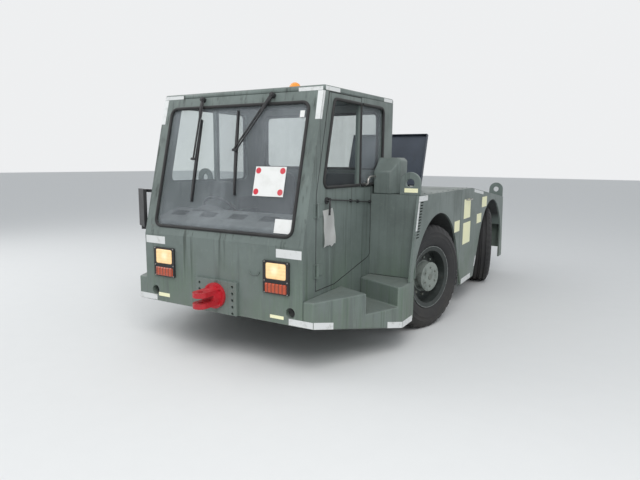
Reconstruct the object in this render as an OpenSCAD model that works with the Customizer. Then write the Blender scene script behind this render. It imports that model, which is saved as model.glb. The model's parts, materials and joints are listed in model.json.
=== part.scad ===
// Four-wheel-steer aircraft pushback tractor with a forward cab, an engine bay behind it and tie-down lugs.
// Front face at the -Y end, vehicle's left at +X, ground at z = 0.

/* [Overall] */
// Width over the side plates
body_w = 2440; // [2300:10:2600]
// From the front face to the front axle
front_axle_y = 1700; // [1696:2:1740]
// From the front axle to the rear axle
wheelbase = 2310; // [2250:2:2500]
// From the rear axle to the tail at the foot of the side plates
rear_overhang = 850; // [800:5:950]
// Height of the level deck
deck_z = 1280; // [1240:5:1320]
// Height of the deck at the tail
tail_z = 1090; // [1092:2:1120]
// Underside of the side plates
plate_foot_z = 230; // [200:5:260]
// Thickness of the side plates
plate_t = 20; // [12:1:25]
// Thickness of the deck plate
deck_t = 12; // [8:1:20]

/* [Cab] */
// Width of the cab
cab_w = 1552; // [1500:4:1600]
// Thickness of cab walls, roof and doors
wall_t = 40; // [30:1:45]
// Underside of the front face
nose_foot_z = 380; // [350:5:400]
// Height of the seam under the windscreen
brow_z = 945; // [920:5:970]
// Setback of the roof's front edge
roof_setback = 283; // [240:1:320]
// Height of the roof's front edge
roof_front_z = 2093; // [2060:1:2130]
// Rise of the roof towards its rear edge
roof_rise = 32; // [0:1:40]
// From the front face to the back of the cab
cab_back_y = 1572; // [1550:2:1590]
// Top of the cab floor
floor_z = 600; // [590:1:604]
// Half width of the cab floor between the wheel housings
bay_half = 690; // [640:2:700]

/* [Doors] */
// Front edge of a door at its foot
door_front_y = 180; // [160:1:200]
// Rear edge of a door below the window
door_rear_y = 1118; // [1090:1:1120]
// Rear edge of a door beside its window
door_bar_y = 892; // [860:1:900]
// Foot of a door
door_foot_z = 612; // [606:1:630]
// Height at which the door's front edge starts to rake
door_knee_z = 1308; // [1280:1:1330]
// Gap round a door
door_gap = 6; // [5:0.5:8]
// Lower edge of the side windows
window_z = 1362; // [1340:1:1400]

/* [Skirts and steps] */
// Width over the skirts at the front face
skirt_w = 1726; // [1700:2:1750]
// Distance behind the front face where the skirts reach the full width
flare_y = 810; // [780:5:840]
// Top of the skirts
skirt_z = 572; // [556:1:584]
// Rear face of the skirts, ahead of the front wheels
skirt_back_y = 1124; // [1100:1:1126]
// Front end of the step recess, along the flared side
step_front = 495; // [470:5:520]
// Back wall of the step recess, along the flared side
step_back = 831; // [800:1:850]
// Height of the step tread
step_z = 410; // [380:5:430]
// Front wall of the wings
wing_y = 1130; // [1126:1:1136]
// Thickness of the wings' front wall
wing_t = 12; // [8:1:14]

/* [Wheels] */
// Outer radius of a tyre
tyre_r = 490; // [470:2:500]
// Width of a tyre
tyre_w = 280; // [260:2:290]
// Radius of a rim's flange
rim_r = 292; // [280:1:300]
// Kingpin to vehicle centre line
kingpin_x = 990; // [980:2:1000]
// Kingpin to the middle of the tyre
wheel_offset = 72; // [66:1:80]
// Radius of a wheel arch
arch_r = 714; // [700:2:730]
// Height of a wheel arch's centre
arch_z = 376; // [350:1:385]
// From an axle to the upright edge of its arch, at the vehicle's end
arch_toe = 660; // [640:5:680]
// From an axle to the foot of the slanted edge of its arch, at the vehicle's middle
arch_heel = 880; // [860:5:900]
// Steering angle that the front wheels stand at
steer_deg = 16.4; // [0:0.1:20]

/* [Lugs and couplings] */
// Width of a tie-down lug
lug_w = 184; // [160:2:200]
// Bore of a tie-down lug
lug_bore = 70; // [50:1:80]
// Thickness of a tie-down lug
lug_t = 25; // [20:1:30]
// Lug bore's height above the deck
lug_rise = 100; // [95:1:120]
// Bore for the tow pin
tow_pin_d = 42; // [30:1:50]
// Height of the front coupling
tow_z = 520; // [500:1:540]
// Reach of the front coupling ahead of the front face
tow_reach = 250; // [220:5:280]
// Spacing of the coupling plate's holes
plate_pitch = 52; // [50:0.5:53]

/* [Hatch] */
// Front edge of the engine hatch
hatch_front_y = 1622; // [1615:1:1640]
// Rear edge of the engine hatch, where it is hinged
hatch_back_y = 2190; // [2150:5:2250]
// Width of the engine hatch
hatch_w = 1720; // [1600:10:1760]
// Angle that the hatch stands open at
hatch_open = 107; // [95:1:110]

/* [Hidden] */
$fn = 48;

half_w = body_w / 2;
half_cab = cab_w / 2;
half_skirt = skirt_w / 2;
rear_axle_y = front_axle_y + wheelbase;
tail_y = rear_axle_y + rear_overhang;
tail_top_y = tail_y - 120;
hitch_y = tail_y + 130;
mid_y = (hitch_y - tow_reach) / 2;
rake = atan(roof_setback / (roof_front_z - brow_z));
rake_len = norm([roof_setback, roof_front_z - brow_z]);
roof_slope = roof_rise / (cab_back_y - roof_setback);
lead_top_y = wing_y - 30;
lead_knee_y = wing_y - 173;
flare_a = atan((half_w - half_skirt) / flare_y);
deck_break_y = 2900;
axle_z = tyre_r;
green = [0.32, 0.37, 0.33];
black = [0.08, 0.08, 0.09];
steel = [0.5, 0.5, 0.5];
glass = [0.5, 0.6, 0.62, 0.4];
red = [0.75, 0.08, 0.1];
orange = [0.9, 0.45, 0.1];

// Height of the deck at a distance from the front face
function deck_at(y) = y < deck_break_y ? deck_z
                    : deck_z - (y - deck_break_y) / (tail_top_y - deck_break_y) * (deck_z - tail_z);
// Height of the roof's outer surface
function roof_at(y) = roof_front_z + (y - roof_setback) * roof_slope;

module place() translate([0, -mid_y, 0]) children();
module flip(s) mirror([s < 0 ? 1 : 0, 0, 0]) children();
module both() for (s = [-1, 1]) flip(s) children();
// Extrudes a (y, z) outline to the left from x0 to x1
module side_slab(x0, x1) translate([x0, 0, 0]) rotate([90, 0, 90]) linear_extrude(x1 - x0) children();
// Extrudes an (x, z) outline rearwards from y0 to y1
module cross_slab(y0, y1) translate([0, y1, 0]) rotate([90, 0, 0]) linear_extrude(y1 - y0) children();
module block(x0, x1, y0, y1, z0, z1) translate([x0, y0, z0]) cube([x1 - x0, y1 - y0, z1 - z0]);
// Rectangle with round corners from (a0, b0) to (a1, b1)
module round_rect(a0, b0, a1, b1, r) {
  for (a = [a0 + r, a1 - r], b = [b0 + r, b1 - r]) translate([a, b]) circle(r);
  translate([a0 + r, b0]) square([a1 - a0 - 2 * r, b1 - b0]);
  translate([a0, b0 + r]) square([a1 - a0, b1 - b0 - 2 * r]);
}
// Outline whose corners are rounded to radius r
function soft(p, r, n = 6) = [for (i = [0:len(p) - 1])
  let (a = p[(i + len(p) - 1) % len(p)], b = p[i], c = p[(i + 1) % len(p)],
       u = (a - b) / norm(a - b), v = (c - b) / norm(c - b), half = acos(u * v) / 2,
       m = b + (u + v) / norm(u + v) * r / sin(half),
       s = b + u * r / tan(half) - m, e = b + v * r / tan(half) - m,
       a0 = atan2(s[1], s[0]), d = (atan2(e[1], e[0]) - a0 + 540) % 360 - 180)
  for (k = [0:n]) m + r * [cos(a0 + d * k / n), sin(a0 + d * k / n)]];
// Puts a flat windscreen piece into the raked plane, its lower edge on the brow seam
module raked(depth) translate([0, 0, brow_z]) rotate([-rake, 0, 0]) translate([0, depth, 0]) children();
// Space above the roof's underside, which the walls below it are cut to
module above_roof() translate([0, roof_setback, roof_front_z]) rotate([atan(roof_slope), 0, 0])
  block(-half_cab - 1, half_cab + 1, -90, 2000, -wall_t, 90);

rail_x = 330;
rail_w = 90;
rail_z0 = 400;
rail_z1 = 560;
rail_top_z = 700;
beam_w = 150;
beam_h = 140;
seat_z = axle_z + beam_h / 2 + 6;
arm_len = 190;
// Underside of a rail past an axle: up at y0, over the axle, down at y1
function rail_rise(y0, y1) = [[y0 - 130, rail_z0], [y0, seat_z], [y1, seat_z], [y1 + 130, rail_z0]];
module rail() side_slab(rail_x, rail_x + rail_w)
  polygon(concat([[wall_t, rail_z0]], rail_rise(front_axle_y - 80, front_axle_y + arm_len + 90),
    rail_rise(rear_axle_y - arm_len - 90, rear_axle_y + 80), [[tail_y - 60, rail_z0], [tail_y - 60, rail_z1],
    [tail_y - 240, rail_top_z], [cab_back_y + 20, rail_top_z], [cab_back_y + 5, floor_z - floor_t], [wall_t, floor_z - floor_t]]));
module chassis() color("dimgray") {
  both() rail();
  for (y = [300, 1000]) block(-rail_x, rail_x, y, y + 80, rail_z0, rail_z1);
  for (y = [front_axle_y + 650, rear_axle_y - 910]) difference() {
    block(-bay_half, bay_half, y, y + 80, rail_z0 + 20, rail_z1);
    translate([60, y - 1, axle_z]) rotate([-90, 0, 0]) cylinder(h = 82, r = 60);
  }
  side_slab(-rail_x, rail_x) polygon([[tail_y - 120, rail_z0], [tail_y - 60, rail_z0], [tail_y - 60, rail_z1],
    [tail_at(rail_top_z) - deck_t - 2, rail_top_z], [tail_y - 120, rail_top_z]]);
}

lamp_x = 555;
lamp_z = 720;
lamp_w = 226;
lamp_h = 242;
socket_x = 673;
socket_z = 472;
socket_r = 38;
module nose() color(green)
  difference() {
    cross_slab(0, wall_t)
      polygon([[-half_cab, nose_foot_z], [half_cab, nose_foot_z], [half_cab, brow_z], [-half_cab, brow_z]]);
    both() {
      block(lamp_x - lamp_w / 2 + 12, lamp_x + lamp_w / 2 - 12, -1, wall_t + 1,
            lamp_z - lamp_h / 2 + 12, lamp_z + lamp_h / 2 - 12);
      translate([socket_x, -1, socket_z]) rotate([-90, 0, 0]) cylinder(h = wall_t + 2, r = socket_r);
    }
  }

floor_t = 30;
wheel_wall_y = wing_y + wing_t;
bay_t = 12;
housing_z = 1060;
module cab_floor() color(green) {
  block(-half_cab + wall_t, half_cab - wall_t, wall_t, wheel_wall_y, floor_z - floor_t, floor_z);
  block(-bay_half, bay_half, wheel_wall_y, cab_back_y, floor_z - floor_t, floor_z);
  both() {
    block(bay_half, bay_half + bay_t, wheel_wall_y - bay_t, cab_back_y, floor_z - floor_t, housing_z);
    block(bay_half, half_cab - wall_t, wheel_wall_y - bay_t, cab_back_y, housing_z - bay_t, housing_z);
    block(bay_half, half_cab - wall_t, wheel_wall_y - bay_t, wheel_wall_y, floor_z - floor_t, housing_z);
  }
}

screen_half = 672;
screen_z0 = 74;
screen_z1 = 1058;
screen_r = 60;
module windscreen_frame() color(green)
  difference() {
    raked(0) cross_slab(0, wall_t) difference() {
      polygon([[-half_cab, -20], [half_cab, -20], [half_cab, rake_len], [-half_cab, rake_len]]);
      round_rect(-screen_half, screen_z0, screen_half, screen_z1, screen_r);
    }
    block(-half_cab - 1, half_cab + 1, -100, 100, brow_z - 100, brow_z);
    above_roof();
  }
back_win_half = 640;
back_win_z0 = 1490;
back_win_z1 = 2005;
module cab_glass() color(glass) {
  raked(12) cross_slab(0, 8) round_rect(-screen_half, screen_z0, screen_half, screen_z1, screen_r);
  cross_slab(cab_back_y - 24, cab_back_y - 18) round_rect(-back_win_half, back_win_z0, back_win_half, back_win_z1, 50);
  both() side_slab(half_cab - 24, half_cab - 18) pane_outline();
}

door_top_z = roof_front_z - 46;
// Front edge of the door at its rake, at a height
function door_rake_y(z, g) = door_front_y - g + max(0, z - door_knee_z) * tan(rake);
// Door as a (y, z) outline, grown by a gap
module door_outline(g = 0) polygon([[door_front_y - g, door_foot_z - g], [door_front_y - g, door_knee_z],
  [door_rake_y(door_top_z, g), door_top_z + g], [door_bar_y + g, door_top_z + g + (door_bar_y - 360) * roof_slope],
  [door_bar_y + g, window_z - 20 + g], [door_rear_y + g, window_z - 20 + g], [door_rear_y + g, door_foot_z + 140 - g],
  [door_rear_y - 40, door_foot_z + 120 - g], [door_front_y + 290, door_foot_z - g]]);
// Window as a rounded (y, z) outline over both sides of the door's rear edge
window_top_z = door_top_z - 40;
window_back_y = cab_back_y - 220;
module side_window() polygon(soft([[door_rake_y(window_z, -76), window_z], [door_rake_y(window_top_z, -76), window_top_z],
  [window_back_y, window_top_z + 14], [window_back_y, window_z]], 52));
module door_window() intersection() {
  side_window();
  translate([0, window_z - 1]) square([door_bar_y - 14, 800]);
}
module pane_outline() intersection() {
  side_window();
  translate([door_bar_y + door_gap + 14, window_z - 1]) square([800, 800]);
}

hinge_off = 14;
hinge_zs = [720, 1160];
hinge_h = 80;
hinge_pin_r = 6;
module door_pin(z) {
  for (z1 = [z - 12.5, z + hinge_h + 0.5]) {
    translate([half_cab + hinge_off, door_front_y, z1]) cylinder(h = 12, r = 13);
    block(half_cab, half_cab + hinge_off, door_front_y - 13, door_front_y - 7, z1, z1 + 12);
  }
  translate([half_cab + hinge_off, door_front_y, z - 12]) cylinder(h = hinge_h + 24, r = hinge_pin_r);
  block(half_cab - 1, half_cab + 4, door_front_y - 40, door_front_y - 10, z - 12.5, z + hinge_h + 12.5);
}
module cab_side() difference() {
  side_slab(half_cab - wall_t, half_cab) difference() {
    polygon([[wall_t, nose_foot_z], [wall_t, brow_z], [roof_setback - 60, roof_front_z + 60],
      [cab_back_y, roof_at(cab_back_y) + 60], [cab_back_y, housing_z], [wheel_wall_y, housing_z],
      [wheel_wall_y, nose_foot_z]]);
    door_outline(door_gap);
    pane_outline();
  }
  raked(-200) block(half_cab - wall_t - 1, half_cab + 1, 0, 200 + wall_t, -100, rake_len + 100);
  above_roof();
}
module cab_sides() color(green) both() {
  cab_side();
  for (z = hinge_zs) door_pin(z);
}

module door(s) color(green) flip(s) difference() {
  union() {
    side_slab(half_cab - wall_t, half_cab) difference() {
      door_outline();
      door_window();
    }
    for (z = hinge_zs) {
      translate([half_cab + hinge_off, door_front_y, z]) cylinder(h = hinge_h, r = 13);
      block(half_cab - 1, half_cab + 6, door_front_y + 8, door_front_y + 90, z, z + hinge_h);
      block(half_cab, half_cab + hinge_off, door_front_y + 7, door_front_y + 13, z, z + hinge_h);
    }
  }
  for (z = hinge_zs) translate([half_cab + hinge_off, door_front_y, z - 1]) cylinder(h = hinge_h + 2, r = hinge_pin_r + 0.3);
}
module door_left() door(1);
module door_right() door(-1);
module door_glass(s) color(glass) flip(s) side_slab(half_cab - 24, half_cab - 18) door_window();
module door_glass_left() door_glass(1);
module door_glass_right() door_glass(-1);

module cab_back() color(green)
  difference() {
    cross_slab(cab_back_y - wall_t, cab_back_y) difference() {
      polygon([[-bay_half, floor_z], [bay_half, floor_z], [bay_half, housing_z], [half_cab - wall_t, housing_z],
        [half_cab - wall_t, roof_at(cab_back_y)], [-half_cab + wall_t, roof_at(cab_back_y)],
        [-half_cab + wall_t, housing_z], [-bay_half, housing_z]]);
      round_rect(-back_win_half, back_win_z0, back_win_half, back_win_z1, 50);
    }
    above_roof();
  }

module roof() color(green)
  translate([0, roof_setback, roof_front_z]) rotate([atan(roof_slope), 0, 0])
    side_slab(-half_cab, half_cab)
      polygon([[-8, -wall_t], [-8, -14], [6, 0], [cab_back_y - roof_setback - 6, 0], [cab_back_y - roof_setback + 8, -14],
               [cab_back_y - roof_setback + 8, -wall_t]]);

module skirt_plan() polygon([[half_cab, 0], [half_skirt, 0], [half_w, flare_y], [half_w, skirt_back_y],
  [half_cab, skirt_back_y]]);
// Recess for the step, square to the flared side
module step_recess() translate([half_skirt, 0, 0]) rotate([0, 0, -flare_a])
  block(-490, 120, step_front, step_back, step_z, skirt_z + 1);
module skirts() color(green) both()
  difference() {
    translate([0, 0, plate_foot_z]) linear_extrude(skirt_z - plate_foot_z) skirt_plan();
    step_recess();
    side_slab(half_cab - 1, half_w + 1) polygon([[-1, plate_foot_z - 1], [-1, nose_foot_z], [0, nose_foot_z],
      [flare_y, plate_foot_z], [flare_y, plate_foot_z - 1]]);
    block(half_w - plate_t, half_w + 1, front_axle_y - arch_toe, skirt_back_y + 1, plate_foot_z - 1, skirt_z + 1);
  }

// Angle at which the slanted edge of an arch leaves its round part
arch_a = acos(arch_r / norm([arch_heel, arch_z - plate_foot_z])) - atan((arch_z - plate_foot_z) / arch_heel);
// Wheel arch of the front (e = 1) or rear (e = -1) axle at y, which mirror each other
module arch_cut(y, e) translate([y, arch_z]) mirror([e < 0 ? 1 : 0, 0]) difference() {
  union() {
    circle(arch_r, $fn = 96);
    translate([-arch_r, -arch_z]) square([2 * arch_r, arch_z]);
    polygon([[0, 0], arch_r * [cos(arch_a), sin(arch_a)], [arch_heel, plate_foot_z - arch_z], [arch_heel, -arch_z],
      [0, -arch_z]]);
  }
  translate([-arch_r - 1, -arch_z - 1]) square([arch_r + 1 - arch_toe, 2 * arch_r]);
}
function tail_at(z) = tail_y - (z - plate_foot_z) / (tail_z - plate_foot_z) * (tail_y - tail_top_y);
module plate_profile() polygon([[front_axle_y - arch_toe + 10, plate_foot_z], [front_axle_y - arch_toe + 10, skirt_z],
  [lead_knee_y, skirt_z], [lead_top_y, deck_z], [deck_break_y, deck_z], [tail_top_y, tail_z], [tail_y, plate_foot_z]]);
slot_n = 13;
slot_pitch = 24;
module slot_cuts() for (i = [0:slot_n - 1])
  let (z = deck_z - 62 - i * slot_pitch, y = wing_y + 42 - (deck_z - z) * 0.3) translate([y, z - 5]) square([70, 11]);
module lug_shape() {
  difference() {
    union() {
      translate([0, lug_rise]) circle(lug_w / 2, $fn = 64);
      translate([-lug_w / 2, 0]) square([lug_w, lug_rise]);
    }
    translate([0, lug_rise]) circle(lug_bore / 2, $fn = 64);
  }
}
lug_x = half_w - lug_w / 2;
lug_back_y = tail_top_y - 60;
housing_t = 8;
module side_plates() color(green) both() side_slab(half_w - plate_t, half_w) difference() {
  plate_profile();
  arch_cut(front_axle_y, 1);
  arch_cut(rear_axle_y, -1);
  slot_cuts();
}
// Wheel housings, the front ones with the wall between cab and side plate
module wheel_housings() color(green) both() {
  block(half_cab, half_w - plate_t, wing_y, wing_y + wing_t, skirt_z, deck_z);
  for (y = [front_axle_y, rear_axle_y])
    side_slab(half_cab + 1, half_w - plate_t) intersection() {
      difference() {
        translate([y, arch_z]) circle(arch_r + housing_t, $fn = 96);
        translate([y, arch_z]) circle(arch_r, $fn = 96);
      }
      translate([wing_y + wing_t, 700]) square([tail_y, 600]);
    }
}
module lugs() color(green) both() {
  translate([lug_x, wing_y, deck_z]) cross_slab(0, lug_t) lug_shape();
  translate([lug_x, lug_back_y, 0]) difference() {
    translate([0, 0, deck_at(lug_back_y)]) cross_slab(0, lug_t) lug_shape();
    side_slab(-lug_w, lug_w) polygon([[-1, deck_at(lug_back_y - 1)], [lug_t + 1, deck_at(lug_back_y + lug_t + 1)],
      [lug_t + 1, 0], [-1, 0]]);
  }
}

hatch_half = hatch_w / 2;
deck_front_y = cab_back_y + 6;
hinge_z = deck_z + 24;
lid_ears = [140, 700];
module deck() color(green) {
  difference() {
    union() {
      block(-half_w + plate_t, half_w - plate_t, deck_front_y, deck_break_y, deck_z - deck_t, deck_z);
      both() block(half_cab, half_w - plate_t, wing_y + wing_t, deck_front_y, deck_z - deck_t, deck_z);
      side_slab(-half_w + plate_t, half_w - plate_t)
        polygon([[deck_break_y, deck_z - deck_t], [deck_break_y, deck_z], [tail_top_y, tail_z], [tail_top_y, tail_z - deck_t]]);
      // Sides of the engine bay, cut away round the axles
      both() side_slab(bay_half, bay_half + bay_t) difference() {
        polygon([[deck_front_y, rail_z0 + 20], [deck_front_y, deck_z - 6], [deck_break_y, deck_z - 6],
          [tail_top_y - 40, deck_at(tail_top_y - 40) - 6], [tail_top_y - 40, rail_z0 + 20]]);
        for (y = [front_axle_y, rear_axle_y]) translate([y - 280, 0]) square([560, 680]);
      }
    }
    block(-hatch_half + 24, hatch_half - 24, hatch_front_y + 24, hatch_back_y - 38, deck_z - 40, deck_z + 1);
  }
  for (s = [-1, 1], x = lid_ears) translate([s * x, 0, 0]) {
    block(-6, 6, hatch_back_y - 9, hatch_back_y + 9, deck_z - 1, hinge_z);
    translate([-6, hatch_back_y, hinge_z]) rotate([0, 90, 0]) cylinder(h = 12, r = 9);
    translate([-36, hatch_back_y, hinge_z]) rotate([0, 90, 0]) cylinder(h = 72, r = 5);
  }
}

module tail() color(green)
  difference() {
    side_slab(-half_w + plate_t, half_w - plate_t)
      polygon([[tail_top_y, tail_z - deck_t], [tail_top_y, tail_z], [tail_at(350), 350], [tail_at(350) - deck_t, 350]]);
    block(-101, 101, tail_y - 200, tail_y + 20, tow_z - 106, tow_z + 106);
  }

lid_t = 44;
skin_t = 6;
module lid(x0, x1, a) color([0.2, 0.23, 0.27])
  translate([0, hatch_back_y, hinge_z]) rotate([-a, 0, 0]) translate([0, -hatch_back_y, -hinge_z]) {
    difference() {
      block(x0, x1, hatch_front_y, hatch_back_y - 14, deck_z + 0.5, deck_z + lid_t);
      block(x0 + skin_t, x1 - skin_t, hatch_front_y + skin_t, hatch_back_y - 14 - skin_t, deck_z, deck_z + lid_t - skin_t);
    }
    for (x = lid_ears, e = [-1, 1]) {
      translate([(x0 + x1 > 0 ? x : -x) + e * 21, 0, 0]) difference() {
        union() {
          translate([-14.5, hatch_back_y, hinge_z]) rotate([0, 90, 0]) cylinder(h = 29, r = 9);
          block(-14.5, 14.5, hatch_back_y - 15, hatch_back_y - 6, hinge_z - 5, hinge_z + 5);
        }
        translate([-15, hatch_back_y, hinge_z]) rotate([0, 90, 0]) cylinder(h = 30, r = 5.3);
      }
    }
  }
module hatch_left() lid(3, hatch_half, hatch_open);
module hatch_right() lid(-hatch_half, -3, 0);

// Engine along the vehicle: crankcase, block, rocker cover, manifolds and mounts
eng_y0 = hatch_front_y + 78;
eng_y1 = hatch_back_y + 110;
eng_z = rail_top_z;
cyl_pitch = (eng_y1 - eng_y0 - 80) / 6;
// Round bar along y
module bar_y(x, y0, y1, z, r) translate([x, y0, z]) rotate([-90, 0, 0]) cylinder(h = y1 - y0, r = r);
module bar_x(x0, x1, y, z, r) translate([x0, y, z]) rotate([0, 90, 0]) cylinder(h = x1 - x0, r = r);
module engine() color("goldenrod") {
  block(-200, 200, eng_y0, eng_y1, eng_z - 60, eng_z + 240);
  block(-160, 160, eng_y0, eng_y1, eng_z + 240, eng_z + 385);
  cross_slab(eng_y0 + 20, eng_y1 - 20)
    polygon([[-110, eng_z + 380], [110, eng_z + 380], [100, eng_z + 440], [75, eng_z + 470], [-75, eng_z + 470], [-100, eng_z + 440]]);
  translate([0, eng_y0 + 130, eng_z + 465]) cylinder(h = 30, r = 34);
  translate([0, eng_y1 - 130, eng_z + 465]) cylinder(h = 18, r = 24);
  // Manifolds
  bar_y(-238, eng_y0 + 30, eng_y1 - 60, eng_z + 340, 36);
  bar_y(236, eng_y0 + 30, eng_y1 - 60, eng_z + 330, 40);
  for (i = [0:5]) let (y = eng_y0 + 60 + (i + 0.25) * cyl_pitch) {
    bar_x(-238, -150, y, eng_z + 340, 22);
    bar_x(150, 236, y, eng_z + 330, 24);
  }
  // Turbocharger and its outlet
  bar_y(236, eng_y0 + 250, eng_y0 + 370, eng_z + 410, 72);
  // Sump, belt pulleys and flywheel housing
  block(-150, 150, eng_y0 + 150, eng_y1 - 50, eng_z - 140, eng_z - 59);
  bar_y(0, eng_y0 - 34, eng_y0, eng_z + 60, 90);
  bar_y(-150, eng_y0 - 34, eng_y0 + 4, eng_z + 250, 45);
  both() block(195, rail_x + rail_w, hatch_back_y - 290, hatch_back_y - 190, eng_z, eng_z + 60);
}
// Radiator, air cleaner and batteries round the engine
module engine_bay_fittings() color([0.15, 0.15, 0.16]) {
  block(-rail_x - 10, rail_x + 10, deck_front_y + 14, eng_y0 - 62, rail_top_z, deck_z - 72);
  bar_y(0, eng_y0 - 62, eng_y0 - 40, eng_z + 250, 215);
  bar_y(470, eng_y0, eng_y0 + 360, deck_z - 180, 105);
  bar_y(470, eng_y0 + 340, eng_y0 + 400, deck_z - 180, 60);
  block(560, bay_half, eng_y0 + 120, eng_y0 + 160, deck_z - 220, deck_z - 140);
  block(-bay_half, -430, eng_y0 + 20, eng_y0 + 400, deck_z - 440, deck_z - 240);
  for (y = [80, 180, 240, 340]) translate([-560, eng_y0 + y, deck_z - 241]) cylinder(h = 22, r = 12);
}
// Transfer box and the shafts to both axles
box_y0 = front_axle_y + 790;
box_y1 = front_axle_y + 1130;
// Half length of a differential along the vehicle, with the gap to its shaft
nose_half = beam_w / 2 + 45.3;
module driveline() color("dimgray") {
  block(-150, 150, box_y0, box_y1, axle_z - 70, rail_top_z + 60);
  both() block(150, rail_x, box_y0 + 130, box_y0 + 210, axle_z + 10, axle_z + 60);
  bar_y(0, eng_y1, box_y0, eng_z + 10, 48);
  bar_y(60, front_axle_y + nose_half, box_y0, axle_z, 34);
  bar_y(60, box_y1, rear_axle_y - nose_half, axle_z, 34);
  for (y = [front_axle_y + nose_half, box_y0 - 50, box_y1, rear_axle_y - nose_half - 50]) bar_y(60, y, y + 50, axle_z, 52);
}

bore = 0.3;
yoke_r = 30;
module axle(y) color("dimgray") translate([0, y, axle_z]) {
  difference() {
    union() {
      block(-kingpin_x + 130, kingpin_x - 130, -beam_w / 2, beam_w / 2, -beam_h / 2, beam_h / 2);
      translate([60, 0, 0]) rotate([90, 0, 0]) {
        cylinder(h = beam_w + 30, r = 140, center = true);
        cylinder(h = beam_w + 90, r = 95, center = true);
      }
      both() block(rail_x, rail_x + rail_w, -beam_w / 2, beam_w / 2, 0, beam_h / 2 + 6);
      both() block(kingpin_x - 130, kingpin_x + 46, -58, 58, -130, 130);
    }
    both() {
      block(kingpin_x - 80, kingpin_x + 61, -61, 61, -90, 90);
      translate([kingpin_x, 0, -140]) cylinder(h = 280, r = yoke_r + bore);
    }
  }
}
module axle_front() axle(front_axle_y);
module axle_rear() axle(rear_axle_y);

// Turns a front or rear corner about its kingpin to where it stands
module at_corner(s, e) translate([s * kingpin_x, e > 0 ? front_axle_y : rear_axle_y, axle_z])
  rotate([0, 0, -e * steer_deg]) children();
spindle_r = 55;
spindle_end = wheel_offset + 50;
arm_z = -40;
arm_pin_r = 12;
module knuckle(s, e) color("dimgray") at_corner(s, e) {
  flip(s) {
    translate([0, 0, -90 + bore]) cylinder(h = 180 - 2 * bore, r = 48);
    translate([0, 0, -126]) cylinder(h = 252, r = yoke_r);
    rotate([0, 90, 0]) cylinder(h = spindle_end - bore, r = spindle_r);
  }
  // Steering arm, towards the middle of the vehicle, with its ball pin
  block(-22, 22, e > 0 ? 0 : -arm_len, e > 0 ? arm_len : 0, arm_z - 15, arm_z + 15);
  translate([0, e * arm_len, arm_z - 15]) cylinder(h = 30, r = 26);
  translate([0, e * arm_len, arm_z - 60]) cylinder(h = 50, r = arm_pin_r);
}
module knuckle_fl() knuckle(1, 1);
module knuckle_fr() knuckle(-1, 1);
module knuckle_rl() knuckle(1, -1);
module knuckle_rr() knuckle(-1, -1);

// Tie rod between the two ball pins of an axle
module tie_rod(e) color("dimgray")
  translate([e * arm_len * sin(e * steer_deg) , (e > 0 ? front_axle_y : rear_axle_y) + e * arm_len * cos(steer_deg),
             axle_z + arm_z - 38]) difference() {
    union() {
      both() translate([kingpin_x, 0, -18]) cylinder(h = 36, r = 28);
      rotate([0, 90, 0]) cylinder(h = 2 * kingpin_x, r = 15, center = true);
    }
    both() translate([kingpin_x, 0, -20]) cylinder(h = 40, r = arm_pin_r + bore);
  }
module tie_rod_front() tie_rod(1);
module tie_rod_rear() tie_rod(-1);

// Rim and hub, revolved about the wheel's axis from (radius, offset) points
module wheel(s, e) color(green) at_corner(s, e) flip(s) translate([wheel_offset, 0, 0]) rotate([0, 90, 0])
  rotate_extrude($fn = 72) polygon([[spindle_r + bore, 10], [150, 10], [rim_r - 50, -6], [rim_r - 50, -104],
    [rim_r - 30, -120], [rim_r, -122], [rim_r, -112], [rim_r - 34, -96], [rim_r - 34, 96], [rim_r, 110],
    [rim_r, 122], [rim_r - 44, 112], [rim_r - 50, 12], [150, 30], [138, 34], [138, 112], [0, 116], [0, 50],
    [spindle_r + bore, 50]]);
module wheel_fl() wheel(1, 1);
module wheel_fr() wheel(-1, 1);
module wheel_rl() wheel(1, -1);
module wheel_rr() wheel(-1, -1);

half_t = tyre_w / 2;
module tyre(s, e) color(black) at_corner(s, e) flip(s) translate([wheel_offset, 0, 0]) rotate([0, 90, 0])
  rotate_extrude($fn = 72) polygon([[rim_r - 33.7, -94], [rim_r + 2, -109], [rim_r + 90, -half_t], [tyre_r - 70, -half_t + 4],
    [tyre_r - 14, -half_t + 24], [tyre_r, -half_t + 46], [tyre_r, half_t - 46], [tyre_r - 14, half_t - 24],
    [tyre_r - 70, half_t - 4], [rim_r + 90, half_t], [rim_r + 2, 109], [rim_r - 33.7, 94]]);
module tyre_fl() tyre(1, 1);
module tyre_fr() tyre(-1, 1);
module tyre_rl() tyre(1, -1);
module tyre_rr() tyre(-1, -1);

plate_x = 163;
coupling_t = 25;
module coupling_plate() color(green)
  difference() {
    block(-205, 205, -coupling_t, 0, nose_foot_z, 640);
    for (x = [-plate_x, plate_x], i = [-2:2])
      translate([x, -coupling_t - 1, tow_z - 22 + i * plate_pitch]) rotate([-90, 0, 0]) cylinder(h = coupling_t + 2, r = 11);
  }

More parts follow.
